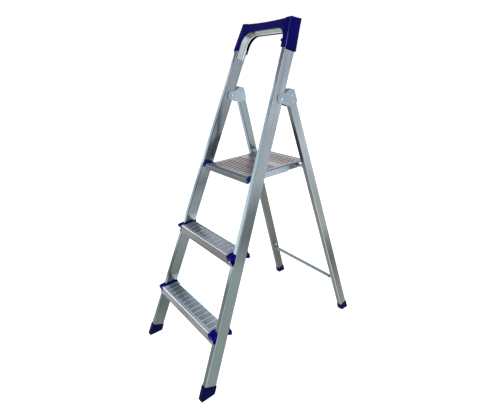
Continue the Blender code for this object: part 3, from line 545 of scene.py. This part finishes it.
def tube(width, depth, low, high, place):
    """A hollow tube with rounded corners, open at both ends."""
    half = width / 2
    outer = rounded_rectangle((-half, 0), (half, depth), TUBE_ROUND, 8)
    inner = rounded_rectangle((-half + SHEET, SHEET), (half - SHEET, depth - SHEET),
                              TUBE_ROUND - SHEET, 8)
    stations = [low + (high - low) * k / TUBE_LENGTHS for k in range(TUBE_LENGTHS + 1)]
    rings = [[place @ Vector((p.x, p.y, z)) for p in outer] for z in stations]
    rings += [[place @ Vector((p.x, p.y, z)) for p in inner] for z in reversed(stations)]
    work = loft(rings + [rings[0]], ends=False)
    bmesh.ops.remove_doubles(work, verts=work.verts, dist=1e-6)
    return work


pair("front_rail", lambda: tube(RAIL_WIDTH, RAIL_DEPTH, RAIL_START, RAIL_END, RAIL),
     RAIL_STEEL, "front_frame", front=RAIL_FRONT)
pair("rear_leg", lambda: tube(LEG_WIDTH, LEG_DEPTH, LEG_START, LEG_TOP, LEG),
     LEG_STEEL, "rear_frame", front=LEG_FRONT_REFLECTION)


# ---- treads -------------------------------------------------------------------------------
RIB_PITCH, RIB_HEIGHT, RIB_HALF = 0.0272, 0.0011, 0.0030
DIMPLE_DEPTH, DIMPLE_HALF = 0.0012, 0.0024
DIMPLES = [0.0165 + 0.0088 * k for k in range(5)]
GROOVE_IN, GROOVE_HALF, GROOVE_DEPTH = 0.0082, 0.0016, 0.0006
RELIEF_FROM, RELIEF_TO, RELIEF_FADE = 0.0100, 0.006, 0.003
TREAD_ROUNDS = (0.002, 0.0045, 0.0032, 0.003)
TREAD_RETURN, NOSING_RETURN = 0.009, 0.010
TREAD_SLICES, TREAD_CUT = 320, 0.0011   # slices across, and the longest step round one
BEAD_UP, BEAD_HALF, BEAD_PRESS = 0.0068, 0.0018, 0.0007
FLANGE_UP, FLANGE_DOWN = 0.004, 0.030   # both below the tread's top
TAB_IN, TAB_TIP, TAB_LIFT, TAB_STEP = 0.014, 0.003, 0.0022, 0.0022
MARGIN, HAIR = 0.0008, 0.0002
TREAD_PLAIN, TREAD_DIMPLE, TREAD_NOSE, TREAD_CREST = range(4)
# Where the treads' painted highlight falls: on the ribs' crests and in a line just behind the
# nose's edge.
CREST_HALF, CREST_FROM, CREST_LINE = 0.0012, 0.0115, (0.0012, 0.0036)
DARK_INSIDE = 0.22                      # how far inside a dimple or slot its floor is dark


def smooth_bump(distance, half):
    """1 at the middle, falling smoothly to 0 at half."""
    t = abs(distance) / half
    return 0.0 if t >= 1 else (1 - t * t) ** 2


def dimple(x, y_in):
    """How far inside a dimple of a tread a point is, from 0 to 1."""
    between = (math.floor(x / RIB_PITCH) + 0.5) * RIB_PITCH
    nearest = min(DIMPLES, key=lambda y: abs(y_in - y))
    reach = math.hypot(x - between, 0.8 * (y_in - nearest))
    return smooth_bump(reach, DIMPLE_HALF)


def tread_relief(x, y_in):
    """Pressed ribs across a tread, dimples between them and a groove behind its nose."""
    value = -GROOVE_DEPTH * smooth_bump(y_in - GROOVE_IN, GROOVE_HALF)
    edge = max(0.0, min(1.0, (y_in - RELIEF_FROM) / RELIEF_FADE,
                        (TREAD_DEPTH - RELIEF_TO - y_in) / RELIEF_FADE))
    nearest = round(x / RIB_PITCH) * RIB_PITCH
    value += edge * RIB_HEIGHT * (smooth_bump(x - nearest, RIB_HALF) - 1)
    return value - edge * DIMPLE_DEPTH * dimple(x, y_in)


def nosing_tab(front, height, side):
    """The nosing's lower edge, running on under the shoe and across the rail's front."""
    low = height - NOSING_HEIGHT
    section = rounded_rectangle((front + GAP, low + GAP),
                                (front + GAP + SHEET, height - TAB_DROP), 0.0005, 3)
    inner = rail_inner(front, low)
    tip_from = inner + TAB_REACH - TAB_TIP
    rings = []
    for x in (inner - TAB_IN, tip_from, tip_from + TAB_STEP, inner + TAB_REACH):
        tip = max(0.0, (x - tip_from) / TAB_TIP)
        rings.append([
            MOVED @ Vector((side * x, p.x, p.y + TAB_LIFT * tip * (p.y < low + 0.004)))
            for p in section
        ])
    return loft(rings)


def tread_piece(height):
    """A pressed tread with its nosing, its tabs and a flange behind each shoe."""
    front = tread_line(height) - TREAD_OVERHANG
    back = front + TREAD_DEPTH
    low, rear_low = height - NOSING_HEIGHT, height - TREAD_BACK
    path = rounded([(back - TREAD_RETURN, rear_low), (back, rear_low), (back, height),
                    (front, height), (front, low), (front + NOSING_RETURN, low)],
                   TREAD_ROUNDS)
    path = divided(path, TREAD_CUT)
    inside = offset(path, SHEET)
    rings = []
    for k in range(TREAD_SLICES + 1):
        share = -1 + 2 * k / TREAD_SLICES
        outer, inner = [], []
        for p, q in zip(path, inside):
            x = share * (rail_inner(p.x, p.y) - SHOE_WALL - 2 * GAP)
            lift = tread_relief(x, p.x - front) if p.y > height - HAIR else 0.0
            press = BEAD_PRESS * smooth_bump(p.y - low - BEAD_UP, BEAD_HALF)
            press *= p.x < front + HAIR
            outer.append(MOVED @ Vector((x, p.x + press, p.y + lift)))
            inner.append(MOVED @ Vector((x, q.x + press, q.y + lift)))
        rings.append(outer + inner[::-1])
    work = loft(rings)
    flange = [(tread_line(height) - 0.004, height - FLANGE_DOWN),
              (back - 0.006, height - FLANGE_DOWN), (back - 0.005, height - FLANGE_UP),
              (front + 0.002, height - FLANGE_UP), (front + 0.002, height - 0.028)]
    for side in (1, -1):
        merge(work, nosing_tab(front, height, side))
        ends = [rail_inner(y, z) - SHOE_WALL - 2 * GAP for y, z in flange]
        merge(work, loft([
            [MOVED @ Vector((side * (x - inset), y, z)) for x, (y, z) in zip(ends, flange)]
            for inset in (HAIR, SHEET)
        ]))
    return work


def tread_surface(height):
    """Picks the dimples' floors in painted shade, the crests in a painted highlight and the
    nose's front in a painted dark reflection.
    """
    front = tread_line(height) - TREAD_OVERHANG - MIDDLE

    def choose(centre, normal):
        y_in = centre.y - front
        if y_in < MARGIN and abs(normal.y) > 0.8:
            return TREAD_NOSE
        if centre.z <= height - 0.0040 or normal.z <= 0.3:
            return TREAD_PLAIN
        if dimple(centre.x, y_in) > DARK_INSIDE:
            return TREAD_DIMPLE
        nearest = round(centre.x / RIB_PITCH) * RIB_PITCH
        if abs(centre.x - nearest) < CREST_HALF and y_in > CREST_FROM:
            return TREAD_CREST
        return TREAD_CREST if CREST_LINE[0] < y_in < CREST_LINE[1] else TREAD_PLAIN

    return choose


for step, steel in (("step_lower", LOWER_STEEL), ("step_upper", UPPER_STEEL)):
    piece("skin_" + step, tread_piece(TREAD_HEIGHTS[step]), steel, "front_frame",
          [step], crease=50.0, others=(HOLE_DARK, NOSE_REFLECTION, CREST_HIGHLIGHT),
          choose=tread_surface(TREAD_HEIGHTS[step]))


# ---- platform -----------------------------------------------------------------------------
# Rows of slots cover the field, unbroken ahead of a plain band and dashed behind it. HALF is a
# pressed feature's half width.
ROW_PITCH, ROW_HALF, ROW_DEPTH = 0.0130, 0.0036, 0.0014
DASH_PITCH, DASH_HALF = 0.0172, 0.0082
RIM_IN, RIM_HALF, RIM_DEPTH = 0.0095, 0.0022, 0.0008
PLAIN_FROM, PLAIN_TO = 0.4370, 0.4870
LEDGE_AT, LEDGE_HALF, LEDGE_DEPTH, LEDGE_SEEN = 0.4820, 0.0020, 0.0009, 0.0011
FIELD_HALF, FIELD_IN_FRONT, FIELD_IN_BACK = 0.1080, 0.026, 0.020
PANEL_FROM, EDGE_FROM, BEND = 0.010, 0.008, 0.003
STEP_UP, THIN_FROM, THIN_OVER = 0.010, 0.012, 0.008
PANEL_SLICES, PANEL_CUT = 230, 0.0013
NOSE_SLICES, NOSE_CUT, TUCK, TUCK_OVER = 80, 0.002, 0.0018, 0.004
PANEL_PLAIN, PANEL_SLOT, PANEL_NOSE, PANEL_EDGE, PANEL_RIM = range(5)


def dash(x, y):
    """How far inside one of the platform's pressed slots a point is, from 0 to 1."""
    row = round((y - PLATFORM_FRONT) / ROW_PITCH)
    if PLAIN_FROM < y < PLAIN_TO:
        return 0.0
    if not PLATFORM_FRONT + FIELD_IN_FRONT < y < PLATFORM_BACK - FIELD_IN_BACK:
        return 0.0
    if abs(x) > FIELD_HALF:
        return 0.0
    shifted = x + (DASH_PITCH / 2 if row % 2 and y > PLAIN_TO else 0.0)
    nearest = round(shifted / DASH_PITCH) * DASH_PITCH
    side = max(0.0, abs(shifted - nearest) - DASH_HALF + ROW_HALF) * (y > PLAIN_TO)
    return smooth_bump(math.hypot(side, y - PLATFORM_FRONT - row * ROW_PITCH), ROW_HALF)


def in_from_edge(x, y):
    """How far in from the panel's nearest edge a point is."""
    return min(PLATFORM_WIDTH / 2 - abs(x), y - PLATFORM_FRONT - EDGE_FROM, PLATFORM_BACK - y)


def panel_relief(x, y):
    """A rim pressed round the panel, slots inside it and one long crease across."""
    value = -RIM_DEPTH * smooth_bump(in_from_edge(x, y) - RIM_IN, RIM_HALF)
    value -= LEDGE_DEPTH * smooth_bump(y - LEDGE_AT, LEDGE_HALF) * (abs(x) < FIELD_HALF)
    return value - ROW_DEPTH * dash(x, y)


def flange_bottom(y):
    """The height of a side flange's lower edge: it steps up behind and thins at the back."""
    low, lip = PLATFORM_HEIGHT - FLANGE_HEIGHT, PLATFORM_HEIGHT - LIP_HEIGHT
    if y < FLANGE_BACK:
        return low
    if y < FLANGE_BACK + STEP_UP:
        return low + (lip - low) * (y - FLANGE_BACK) / STEP_UP
    thin = PLATFORM_HEIGHT - 2 * SHEET
    past = y - PLATFORM_BACK + THIN_FROM
    return lip + (thin - lip) * max(0.0, min(1.0, past / THIN_OVER))


def panel_tray():
    """The panel's top with its two side flanges."""
    half, top = PLATFORM_WIDTH / 2, PLATFORM_HEIGHT
    start = PLATFORM_FRONT + PANEL_FROM
    across = divided([Vector((BEND - half, 0)), Vector((half - BEND, 0))], PANEL_CUT)
    bend = [(math.sin(a) * BEND, math.cos(a) * BEND - BEND)
            for a in (math.radians(15 * i) for i in range(1, 7))]
    rings = []
    for k in range(PANEL_SLICES + 1):
        y = start + (PLATFORM_BACK - start) * k / PANEL_SLICES
        bottom = flange_bottom(y)
        flat = [(p.x, top + panel_relief(p.x, y)) for p in across]
        right = [(half - BEND + x, max(top + z, bottom)) for x, z in bend] + [(half, bottom)]
        outer = [(-x, z) for x, z in reversed(right)] + flat + right
        inner = [(max(SHEET - half, min(half - SHEET, x)), max(z - SHEET, bottom))
                 for x, z in outer]
        rings.append([MOVED @ Vector((x, y, z)) for x, z in outer + inner[::-1]])
    return loft(rings)


def platform_piece():
    """The tray, its wider nosing and a cheek closing each end of the nosing."""
    work = panel_tray()
    top, front = PLATFORM_HEIGHT, PLATFORM_FRONT
    start, low = front + PANEL_FROM, top - FLANGE_HEIGHT + 0.001
    nose = rounded([(start + 0.002, top), (front, top - 0.003), (front, low),
                    (front + 0.008, low)], [0.006, 0.003], 8)
    nose = divided(nose, NOSE_CUT)
    inside = offset(nose, SHEET)
    rings = []
    for k in range(NOSE_SLICES + 1):
        x = NOSE_WIDTH * (k / NOSE_SLICES - 0.5)
        tuck = TUCK * max(0.0, 1 - (NOSE_WIDTH / 2 - abs(x)) / TUCK_OVER) ** 2
        rings.append([MOVED @ Vector((x, p.x + tuck, p.y)) for p in nose + inside[::-1]])
    merge(work, loft(rings))
    cheek = [(start + 0.001, top - 0.002), (front + 0.0022, top - 0.0045),
             (front + 0.0022, low + 0.001), (front + 0.008, low + 0.001),
             (start + 0.001, low + 0.006)]
    inmost = NOSE_WIDTH / 2 - SHEET
    for side in (1, -1):
        merge(work, loft([[MOVED @ Vector((side * x, y, z)) for y, z in cheek]
                          for x in (inmost, inmost + SHEET * 0.8)]))
    return work


def panel_surface(centre, normal):
    """Picks the slots' and the crease's floors in painted shade, the blue-grey rim, the nose's
    front in a painted dark reflection, and its edges and flanges in a lighter steel.
    """
    x, y = centre.x, centre.y + MIDDLE
    if normal.z > 0.3 and centre.z > PLATFORM_HEIGHT - 0.004:
        on_ledge = abs(y - LEDGE_AT) < LEDGE_SEEN and abs(x) < FIELD_HALF
        if on_ledge or dash(x, y) > DARK_INSIDE:
            return PANEL_SLOT
        return PANEL_RIM if in_from_edge(x, y) < RIM_IN - RIM_HALF / 2 else PANEL_PLAIN
    if 0.55 < normal.z < 0.92 and y < PLATFORM_FRONT + 0.008:
        return PANEL_EDGE
    return PANEL_NOSE if y < PLATFORM_FRONT + 0.004 else PANEL_EDGE


piece("skin_platform", platform_piece(), PANEL_STEEL, "platform_panel",
      ["platform"], crease=50.0, others=(SLOT_DARK, PLATFORM_NOSE_REFLECTION, BRACKET_STEEL, RIM_STEEL),
      choose=panel_surface)


# ---- shoes --------------------------------------------------------------------------------
# A clip's outline from the side: how far behind the rail's front edge, and how far above the
# tread's top.
SHOE_TOP = ((-0.0220, -0.0035), (-0.0190, -0.0015), (-0.0010, 0.0010), (0.0455, -0.0040),
            (0.0530, -0.0140))
SHOE_UNDER = ((0.0540, -0.0270), (0.0505, -0.0315), (0.0300, -0.0250))
SHOE_LOW = {"step_lower": -0.0195, "step_upper": -0.0150}
SHOE_FRONT, SHOE_REAR, SHOE_MIDDLE, CHIN = -0.0220, 0.0540, -0.010, 0.0025
# Each run's sections: how far out from the rail's inner face, how much the front of the lower
# edge is raised, and how much the section is drawn in.
BESIDE_RAIL = ((-0.0098, 0.0022, 0.90), (-0.0088, 0.0010, 1.0), (-0.0003, 0.0, 1.0))
AHEAD_OF_RAIL = ((-0.0040, 0.0, 1.0), (0.0030, 0.0, 1.0), (0.0165, 0.0, 1.0),
                 (0.0198, 0.0030, 0.78))
BEHIND_RAIL = ((-0.0040, 0.0, 1.0), (0.0185, 0.0, 0.96), (0.0198, 0.0, 0.88))


def shoe_run(height, bottom, y_from, y_to, sections):
    """One run of a shoe: its outline held between two depths, and lofted across."""
    line, chin = tread_line(height), bottom + CHIN
    outline = SHOE_TOP + SHOE_UNDER + ((-0.0010, bottom - 0.0020), (-0.0190, bottom),
                                       (SHOE_FRONT, chin))
    rings = []
    for inset, raised, shrink in sections:
        ring = []
        for y, z in outline:
            y = max(y_from, min(y_to, y))
            z = SHOE_MIDDLE + (z - SHOE_MIDDLE) * shrink
            if raised and y < -0.012:
                z = max(z, chin + raised)
            x = rail_inner(line + y, height + z) + inset
            ring.append(MOVED @ Vector((x, line + y, height + z)))
        rings.append(ring)
    return loft(rings)


def lean(work, height, chosen, reach):
    """Sets the chosen points on a plane along the leaning rail, reach behind its front."""
    line = tread_line(height)
    for vert in work.verts:
        if chosen(vert.co.y + MIDDLE - line):
            rise = (vert.co.z - height) * math.tan(FRONT_LEAN)
            vert.co.y = line - MIDDLE + rise + reach


def shoe_piece(height, bottom):
    """A clip in three runs: beside the rail, ahead of it and behind it."""
    work = shoe_run(height, bottom, SHOE_FRONT, SHOE_REAR, BESIDE_RAIL)
    ahead = shoe_run(height, bottom, SHOE_FRONT, -0.0022, AHEAD_OF_RAIL)
    lean(ahead, height, lambda y: y > -0.004, -GAP)
    merge(work, ahead)
    behind = shoe_run(height, bottom, 0.0455, SHOE_REAR, BEHIND_RAIL)
    lean(behind, height, lambda y: y < 0.0480, RAIL_DEPTH / math.cos(FRONT_LEAN) + GAP)
    return merge(work, behind)


for step, height in TREAD_HEIGHTS.items():
    pair(step.replace("step", "shoe"), lambda: shoe_piece(height, SHOE_LOW[step]),
         SHOE_BLUE, "front_frame", 0.0011)


# ---- cap ----------------------------------------------------------------------------------
CAP_ROUND, CAP_EASE = 0.0026, 0.0009    # the outer corners, and the inner ones
CAP_SET_BACK, CAP_IN = 0.0042, 0.0037
SIDE_STEPS, BEAM_STEPS = 6, 12
SIDE_SHARE, SHOULDER = 0.6, 0.026       # of the outer side; along the top from its corner
BEAM_STEP_AT = 14                       # stations from the middle to where the beam sets back


def arch(inset, start):
    """The hoop's inner line in the rails' plane, drawn smaller by an inset."""
    crown = HOOP_CROWN - HOOP_THICK - inset

    def reach(along):
        face = RAIL_SPREAD - RAIL_WIDTH - RAIL_CLOSING * along
        return face - 2 * GAP - HOOP_THICK - inset

    corners = [(-reach(start), start), (-reach(crown), crown), (reach(crown), crown),
               (reach(start), start)]
    return rounded(corners, [HOOP_CORNER, HOOP_CORNER], 24)


def cap_stations():
    """Pairs of points on the cap's arch and on its outer line, from left to middle."""
    inner = arch(ARCH_INSET, CAP_BOTTOM)
    inner = inner[:len(inner) // 2]
    bend, beam = inner[1:], inner[-1]
    low, corner = Vector((-CAP_HALF_BOTTOM, CAP_BOTTOM)), Vector((-CAP_HALF_TOP, CAP_TOP))
    stations = [(inner[0].lerp(bend[0], k / SIDE_STEPS),
                 low.lerp(corner, SIDE_SHARE * k / SIDE_STEPS)) for k in range(SIDE_STEPS + 1)]
    half = len(bend) // 2
    for k, point in enumerate(bend[1:], 1):
        if k <= half:
            outer = low.lerp(corner, SIDE_SHARE + (1 - SIDE_SHARE) * k / half)
        else:
            x = -CAP_HALF_TOP + SHOULDER * (k - half) / (len(bend) - 1 - half)
            outer = Vector((x, cap_line(x)))
        stations.append((point, outer))
    start = stations[-1][1].x
    for k in range(1, BEAM_STEPS + 1):
        share = 1 - k / BEAM_STEPS
        stations.append((Vector((beam.x * share, beam.y)),
                         Vector((start * share, cap_line(start * share)))))
    return stations


def cap_line(x):
    """The cap's slightly hollow top line."""
    return CAP_TOP - CAP_DIP * (1 - (x / CAP_HALF_TOP) ** 2)


def cap_section(inner, outer, set_back):
    """The cap's open section at a station: points in the rails' plane and their depths."""
    out = (outer - inner).normalized()
    front, back = CAP_FRONT, CAP_BACK
    turns = [math.radians(18 * i) for i in range(6)]
    ring = [(inner, CAP_IN), (inner, front + CAP_EASE),
            (inner + out * CAP_EASE * 0.3, front + CAP_EASE * 0.3),
            (inner + out * CAP_EASE, front)]
    ring += [(outer - out * CAP_ROUND * (1 - math.sin(a)),
              front + set_back + CAP_ROUND * (1 - math.cos(a))) for a in turns]
    ring += [(outer - out * CAP_ROUND * (1 - math.cos(a)),
              back - CAP_ROUND * (1 - math.sin(a))) for a in turns]
    ring += [(inner + out * CAP_EASE, back), (inner, back - CAP_EASE), (inner, back - CAP_WALL)]
    under = outer - out * 2 * CAP_WALL
    ring += [(under, back - CAP_WALL), (under, front + set_back + CAP_WALL)]
    return ring + [(inner + out * CAP_WALL, front + CAP_WALL), (inner + out * CAP_WALL, CAP_IN)]


def cap_piece():
    """The saddle cap: set back along its beam, and rising towards its rear edge."""
    stations = cap_stations()
    crease_at = len(stations) - BEAM_STEP_AT
    stations += [(Vector((-i.x, i.y)), Vector((-o.x, o.y))) for i, o in reversed(stations[:-1])]
    rings = []
    for k, (inner, outer) in enumerate(stations):
        from_end = min(k, len(stations) - 1 - k)
        set_back = CAP_SET_BACK * max(0.0, min(1.0, from_end - crease_at))
        low = max(inner.y, (HOOP_CROWN + CAP_TOP) / 2 - 0.004)
        points = []
        for p, along in cap_section(inner, outer, set_back):
            share = max(0.0, min(1.0, (p.y - low) / (CAP_TOP - low)))
            climb = CAP_RISE * share * (along - CAP_FRONT) / (CAP_BACK - CAP_FRONT)
            points.append(PLANE @ Vector((p.x, along, p.y + climb)))
        rings.append(points)
    return loft(rings)


def cap_surface(centre, normal):
    """Picks the corner between the cap's front and its outer sides, which takes a painted
    highlight.
    """
    outward = normal.x * (1 if centre.x > 0 else -1)
    return int(outward > 0.45 and normal.y < -0.45 and abs(centre.x) > 0.12)


piece("skin_top_cap", cap_piece(), CAP_BLUE, "front_frame", ["top_cap"],
      crease=24.0, others=[CAP_EDGE_HIGHLIGHT], choose=cap_surface)


# ---- hoop ---------------------------------------------------------------------------------
BEAD, BEAD_STEPS, FLAT_STEPS = 0.0024, 9, 12
HOOP_PLAIN, HOOP_ROOF, HOOP_BEAD = range(3)
PLANE_BACK = PLANE.inverted()


def hoop_piece():
    """A strip bent over between the rails, its rear edge rolled into a bead."""
    path = divided(arch(0, HOOP_START), 0.004)
    path = [p for i, p in enumerate(path) if i == 0 or (p - path[i - 1]).length > 1e-6]
    lefts = offset(path, 1.0)       # a metre to the left of each point
    edge = HOOP_THICK / 2
    section = [(HOOP_FRONT, 0.2 * edge), (HOOP_FRONT + 0.3 * edge, 0.0)]
    section += [(HOOP_FRONT + (HOOP_BACK - BEAD * 2 - HOOP_FRONT) * k / FLAT_STEPS, 0.0)
                for k in range(1, FLAT_STEPS)]
    centre = HOOP_BACK - BEAD
    roll = [math.radians(200 + 230 * k / BEAD_STEPS) for k in range(BEAD_STEPS + 1)]
    section += [(centre + BEAD * math.cos(a), BEAD * math.sin(a) - BEAD * 0.15) for a in roll]
    section += [(HOOP_BACK - 0.3 * edge, HOOP_THICK), (HOOP_FRONT + 0.3 * edge, HOOP_THICK),
                (HOOP_FRONT, HOOP_THICK - 0.2 * edge)]
    rings = []
    for p, q in zip(path, lefts):
        out = (q - p).normalized()
        rings.append([PLANE @ Vector((p.x + out.x * h, s, p.y + out.y * h))
                      for s, h in section])
    return loft(rings)


def hoop_surface(centre, normal):
    """Picks the rolled bead, in a painted highlight, and the shaded underside of the crown."""
    if (PLANE_BACK @ centre).y > HOOP_BACK - 2 * BEAD:
        return HOOP_BEAD
    return HOOP_ROOF if normal.z < -0.72 else HOOP_PLAIN


piece("skin_hoop", hoop_piece(), HOOP_STEEL, "front_frame", ["hoop"],
      crease=50.0, others=(ROOF_STEEL, BEAD_HIGHLIGHT), choose=hoop_surface)


# ---- what keeps its CAD shape -------------------------------------------------------------
def starting(*stems):
    """The names of the CAD nodes that begin so."""
    return [name for name in NODES if name.startswith(stems)]


def carry(names, material, width=0.0):
    """CAD nodes that stay, with their material and, where asked, softened edges."""
    for name in names:
        obj = NODES[name]
        obj.data.materials.clear()
        obj.data.materials.append(material)
        if width:
            soften(obj, width, 2)


carry(starting("pivot_bracket"), BRACKET_STEEL, 0.0006)
carry(starting("link_left", "link_right"), BRACKET_STEEL, 0.0005)
carry(["rear_brace"], BRACE_STEEL)
carry(starting("front_foot", "rear_foot"), FOOT_BLUE, 0.0008)
carry(starting("platform_block"), SHOE_BLUE, 0.0006)
# The cap liner is painted near black, as the shade in the gap under the cap's edge.
carry(starting("cap_liner"), LINER_SHADE)
carry(["hoop_buffer"], RUBBER)
carry(starting("step_rivet", "hinge_pin", "link_rivet", "leg_pin", "leg_bush", "pivot_pin",
               "bracket_rivet", "brace_rivet", "hoop_rivet", "cap_screw"), RIVET_STEEL)


# ---- floor and light ----------------------------------------------------------------------
BEHIND = (0.0, 1.0, 0.0)            # towards the white wall
FLOOR_GLOW, BAND_GLOW = 0.75, 0.02
BAND_NEAR, BAND_FAR = (-1.5, -0.85), (-9.0, -3.5)
FLOOR_SIZE, FLOOR_TONE = 40.0, (0.80, 0.80, 0.80)
WALL_STRENGTH = 1.05
WORLD_STOPS = ((0.0, (0.30, 0.32, 0.34)), (0.40, (0.42, 0.45, 0.47)), (0.48, (0.80, 0.82, 0.84)),
               (0.53, (1.0, 1.0, 1.0)))


def make_floor():
    """A pale floor that runs on to the horizon, glowing a little as a lit floor does.

    The glow stops between BAND_NEAR and BAND_FAR, in front of the stool and out of the
    camera's sight, where a darker room would be: the front faces reflect that band."""
    mesh = bpy.data.meshes.new("floor")
    size = FLOOR_SIZE
    mesh.from_pydata([(-size, -size, 0), (size, -size, 0), (size, size, 0), (-size, size, 0)],
                     [], [(0, 1, 2, 3)])
    floor = bpy.data.objects.new("floor", mesh)
    bpy.context.scene.collection.objects.link(floor)
    made = Shader("floor", FLOOR_TONE, 1.0)
    behind = made.node("VectorMath", operation="DOT_PRODUCT")
    made.link(made.place, behind.inputs[0])
    behind.inputs[1].default_value = BEHIND
    near = made.spread(behind.outputs["Value"], 0.0, FLOOR_GLOW, *BAND_NEAR)
    beyond = made.spread(behind.outputs["Value"], FLOOR_GLOW, BAND_GLOW, *BAND_FAR)
    glow = made.node("Math", operation="ADD")
    made.link(near, glow.inputs[0])
    made.link(beyond, glow.inputs[1])
    made.link(glow.outputs["Value"], made.main.inputs["Emission Strength"])
    made.main.inputs["Emission Color"].default_value = (1.0, 1.0, 1.0, 1)
    mesh.materials.append(made.material)


def area_light(name, at, target, size, power, colour=(1, 1, 1)):
    """A rectangular lamp at a place, aimed at a target."""
    data = bpy.data.lights.new(name, "AREA")
    data.shape = "RECTANGLE"
    data.size, data.size_y = size
    data.energy = power
    data.color = colour
    light = bpy.data.objects.new(name, data)
    bpy.context.scene.collection.objects.link(light)
    light.location = at
    aim = Vector(target) - Vector(at)
    light.rotation_mode = "QUATERNION"
    light.rotation_quaternion = aim.to_track_quat("-Z", "Y")


def make_world():
    """A studio: a white wall behind the stool, greyer to the sides and by the camera."""
    world = bpy.data.worlds.new("studio")
    world.use_nodes = True
    tree = world.node_tree
    background = tree.nodes["Background"]
    place = tree.nodes.new("ShaderNodeTexCoord")
    across = tree.nodes.new("ShaderNodeVectorMath")
    across.operation = "DOT_PRODUCT"
    across.inputs[1].default_value = BEHIND
    tree.links.new(place.outputs["Generated"], across.inputs[0])
    share = tree.nodes.new("ShaderNodeMapRange")
    share.inputs["From Min"].default_value = -1.0
    tree.links.new(across.outputs["Value"], share.inputs["Value"])
    band = tree.nodes.new("ShaderNodeValToRGB")
    while len(band.color_ramp.elements) < len(WORLD_STOPS):
        band.color_ramp.elements.new(0.5)
    for element, (position, colour) in zip(band.color_ramp.elements, WORLD_STOPS):
        element.position, element.color = position, (*colour, 1)
    tree.links.new(share.outputs["Result"], band.inputs["Fac"])
    tree.links.new(band.outputs["Color"], background.inputs["Color"])
    background.inputs["Strength"].default_value = WALL_STRENGTH
    bpy.context.scene.world = world
    bpy.context.scene.view_settings.view_transform = "Standard"


make_floor()
make_world()
area_light("key", (1.6, -2.6, 3.2), (0, 0, 0.5), (1.4, 1.4), 40)
area_light("side", (-2.4, -1.6, 1.25), (0, 0, 0.8), (2.2, 2.0), 26, (0.84, 0.93, 1.0))
make_camera()
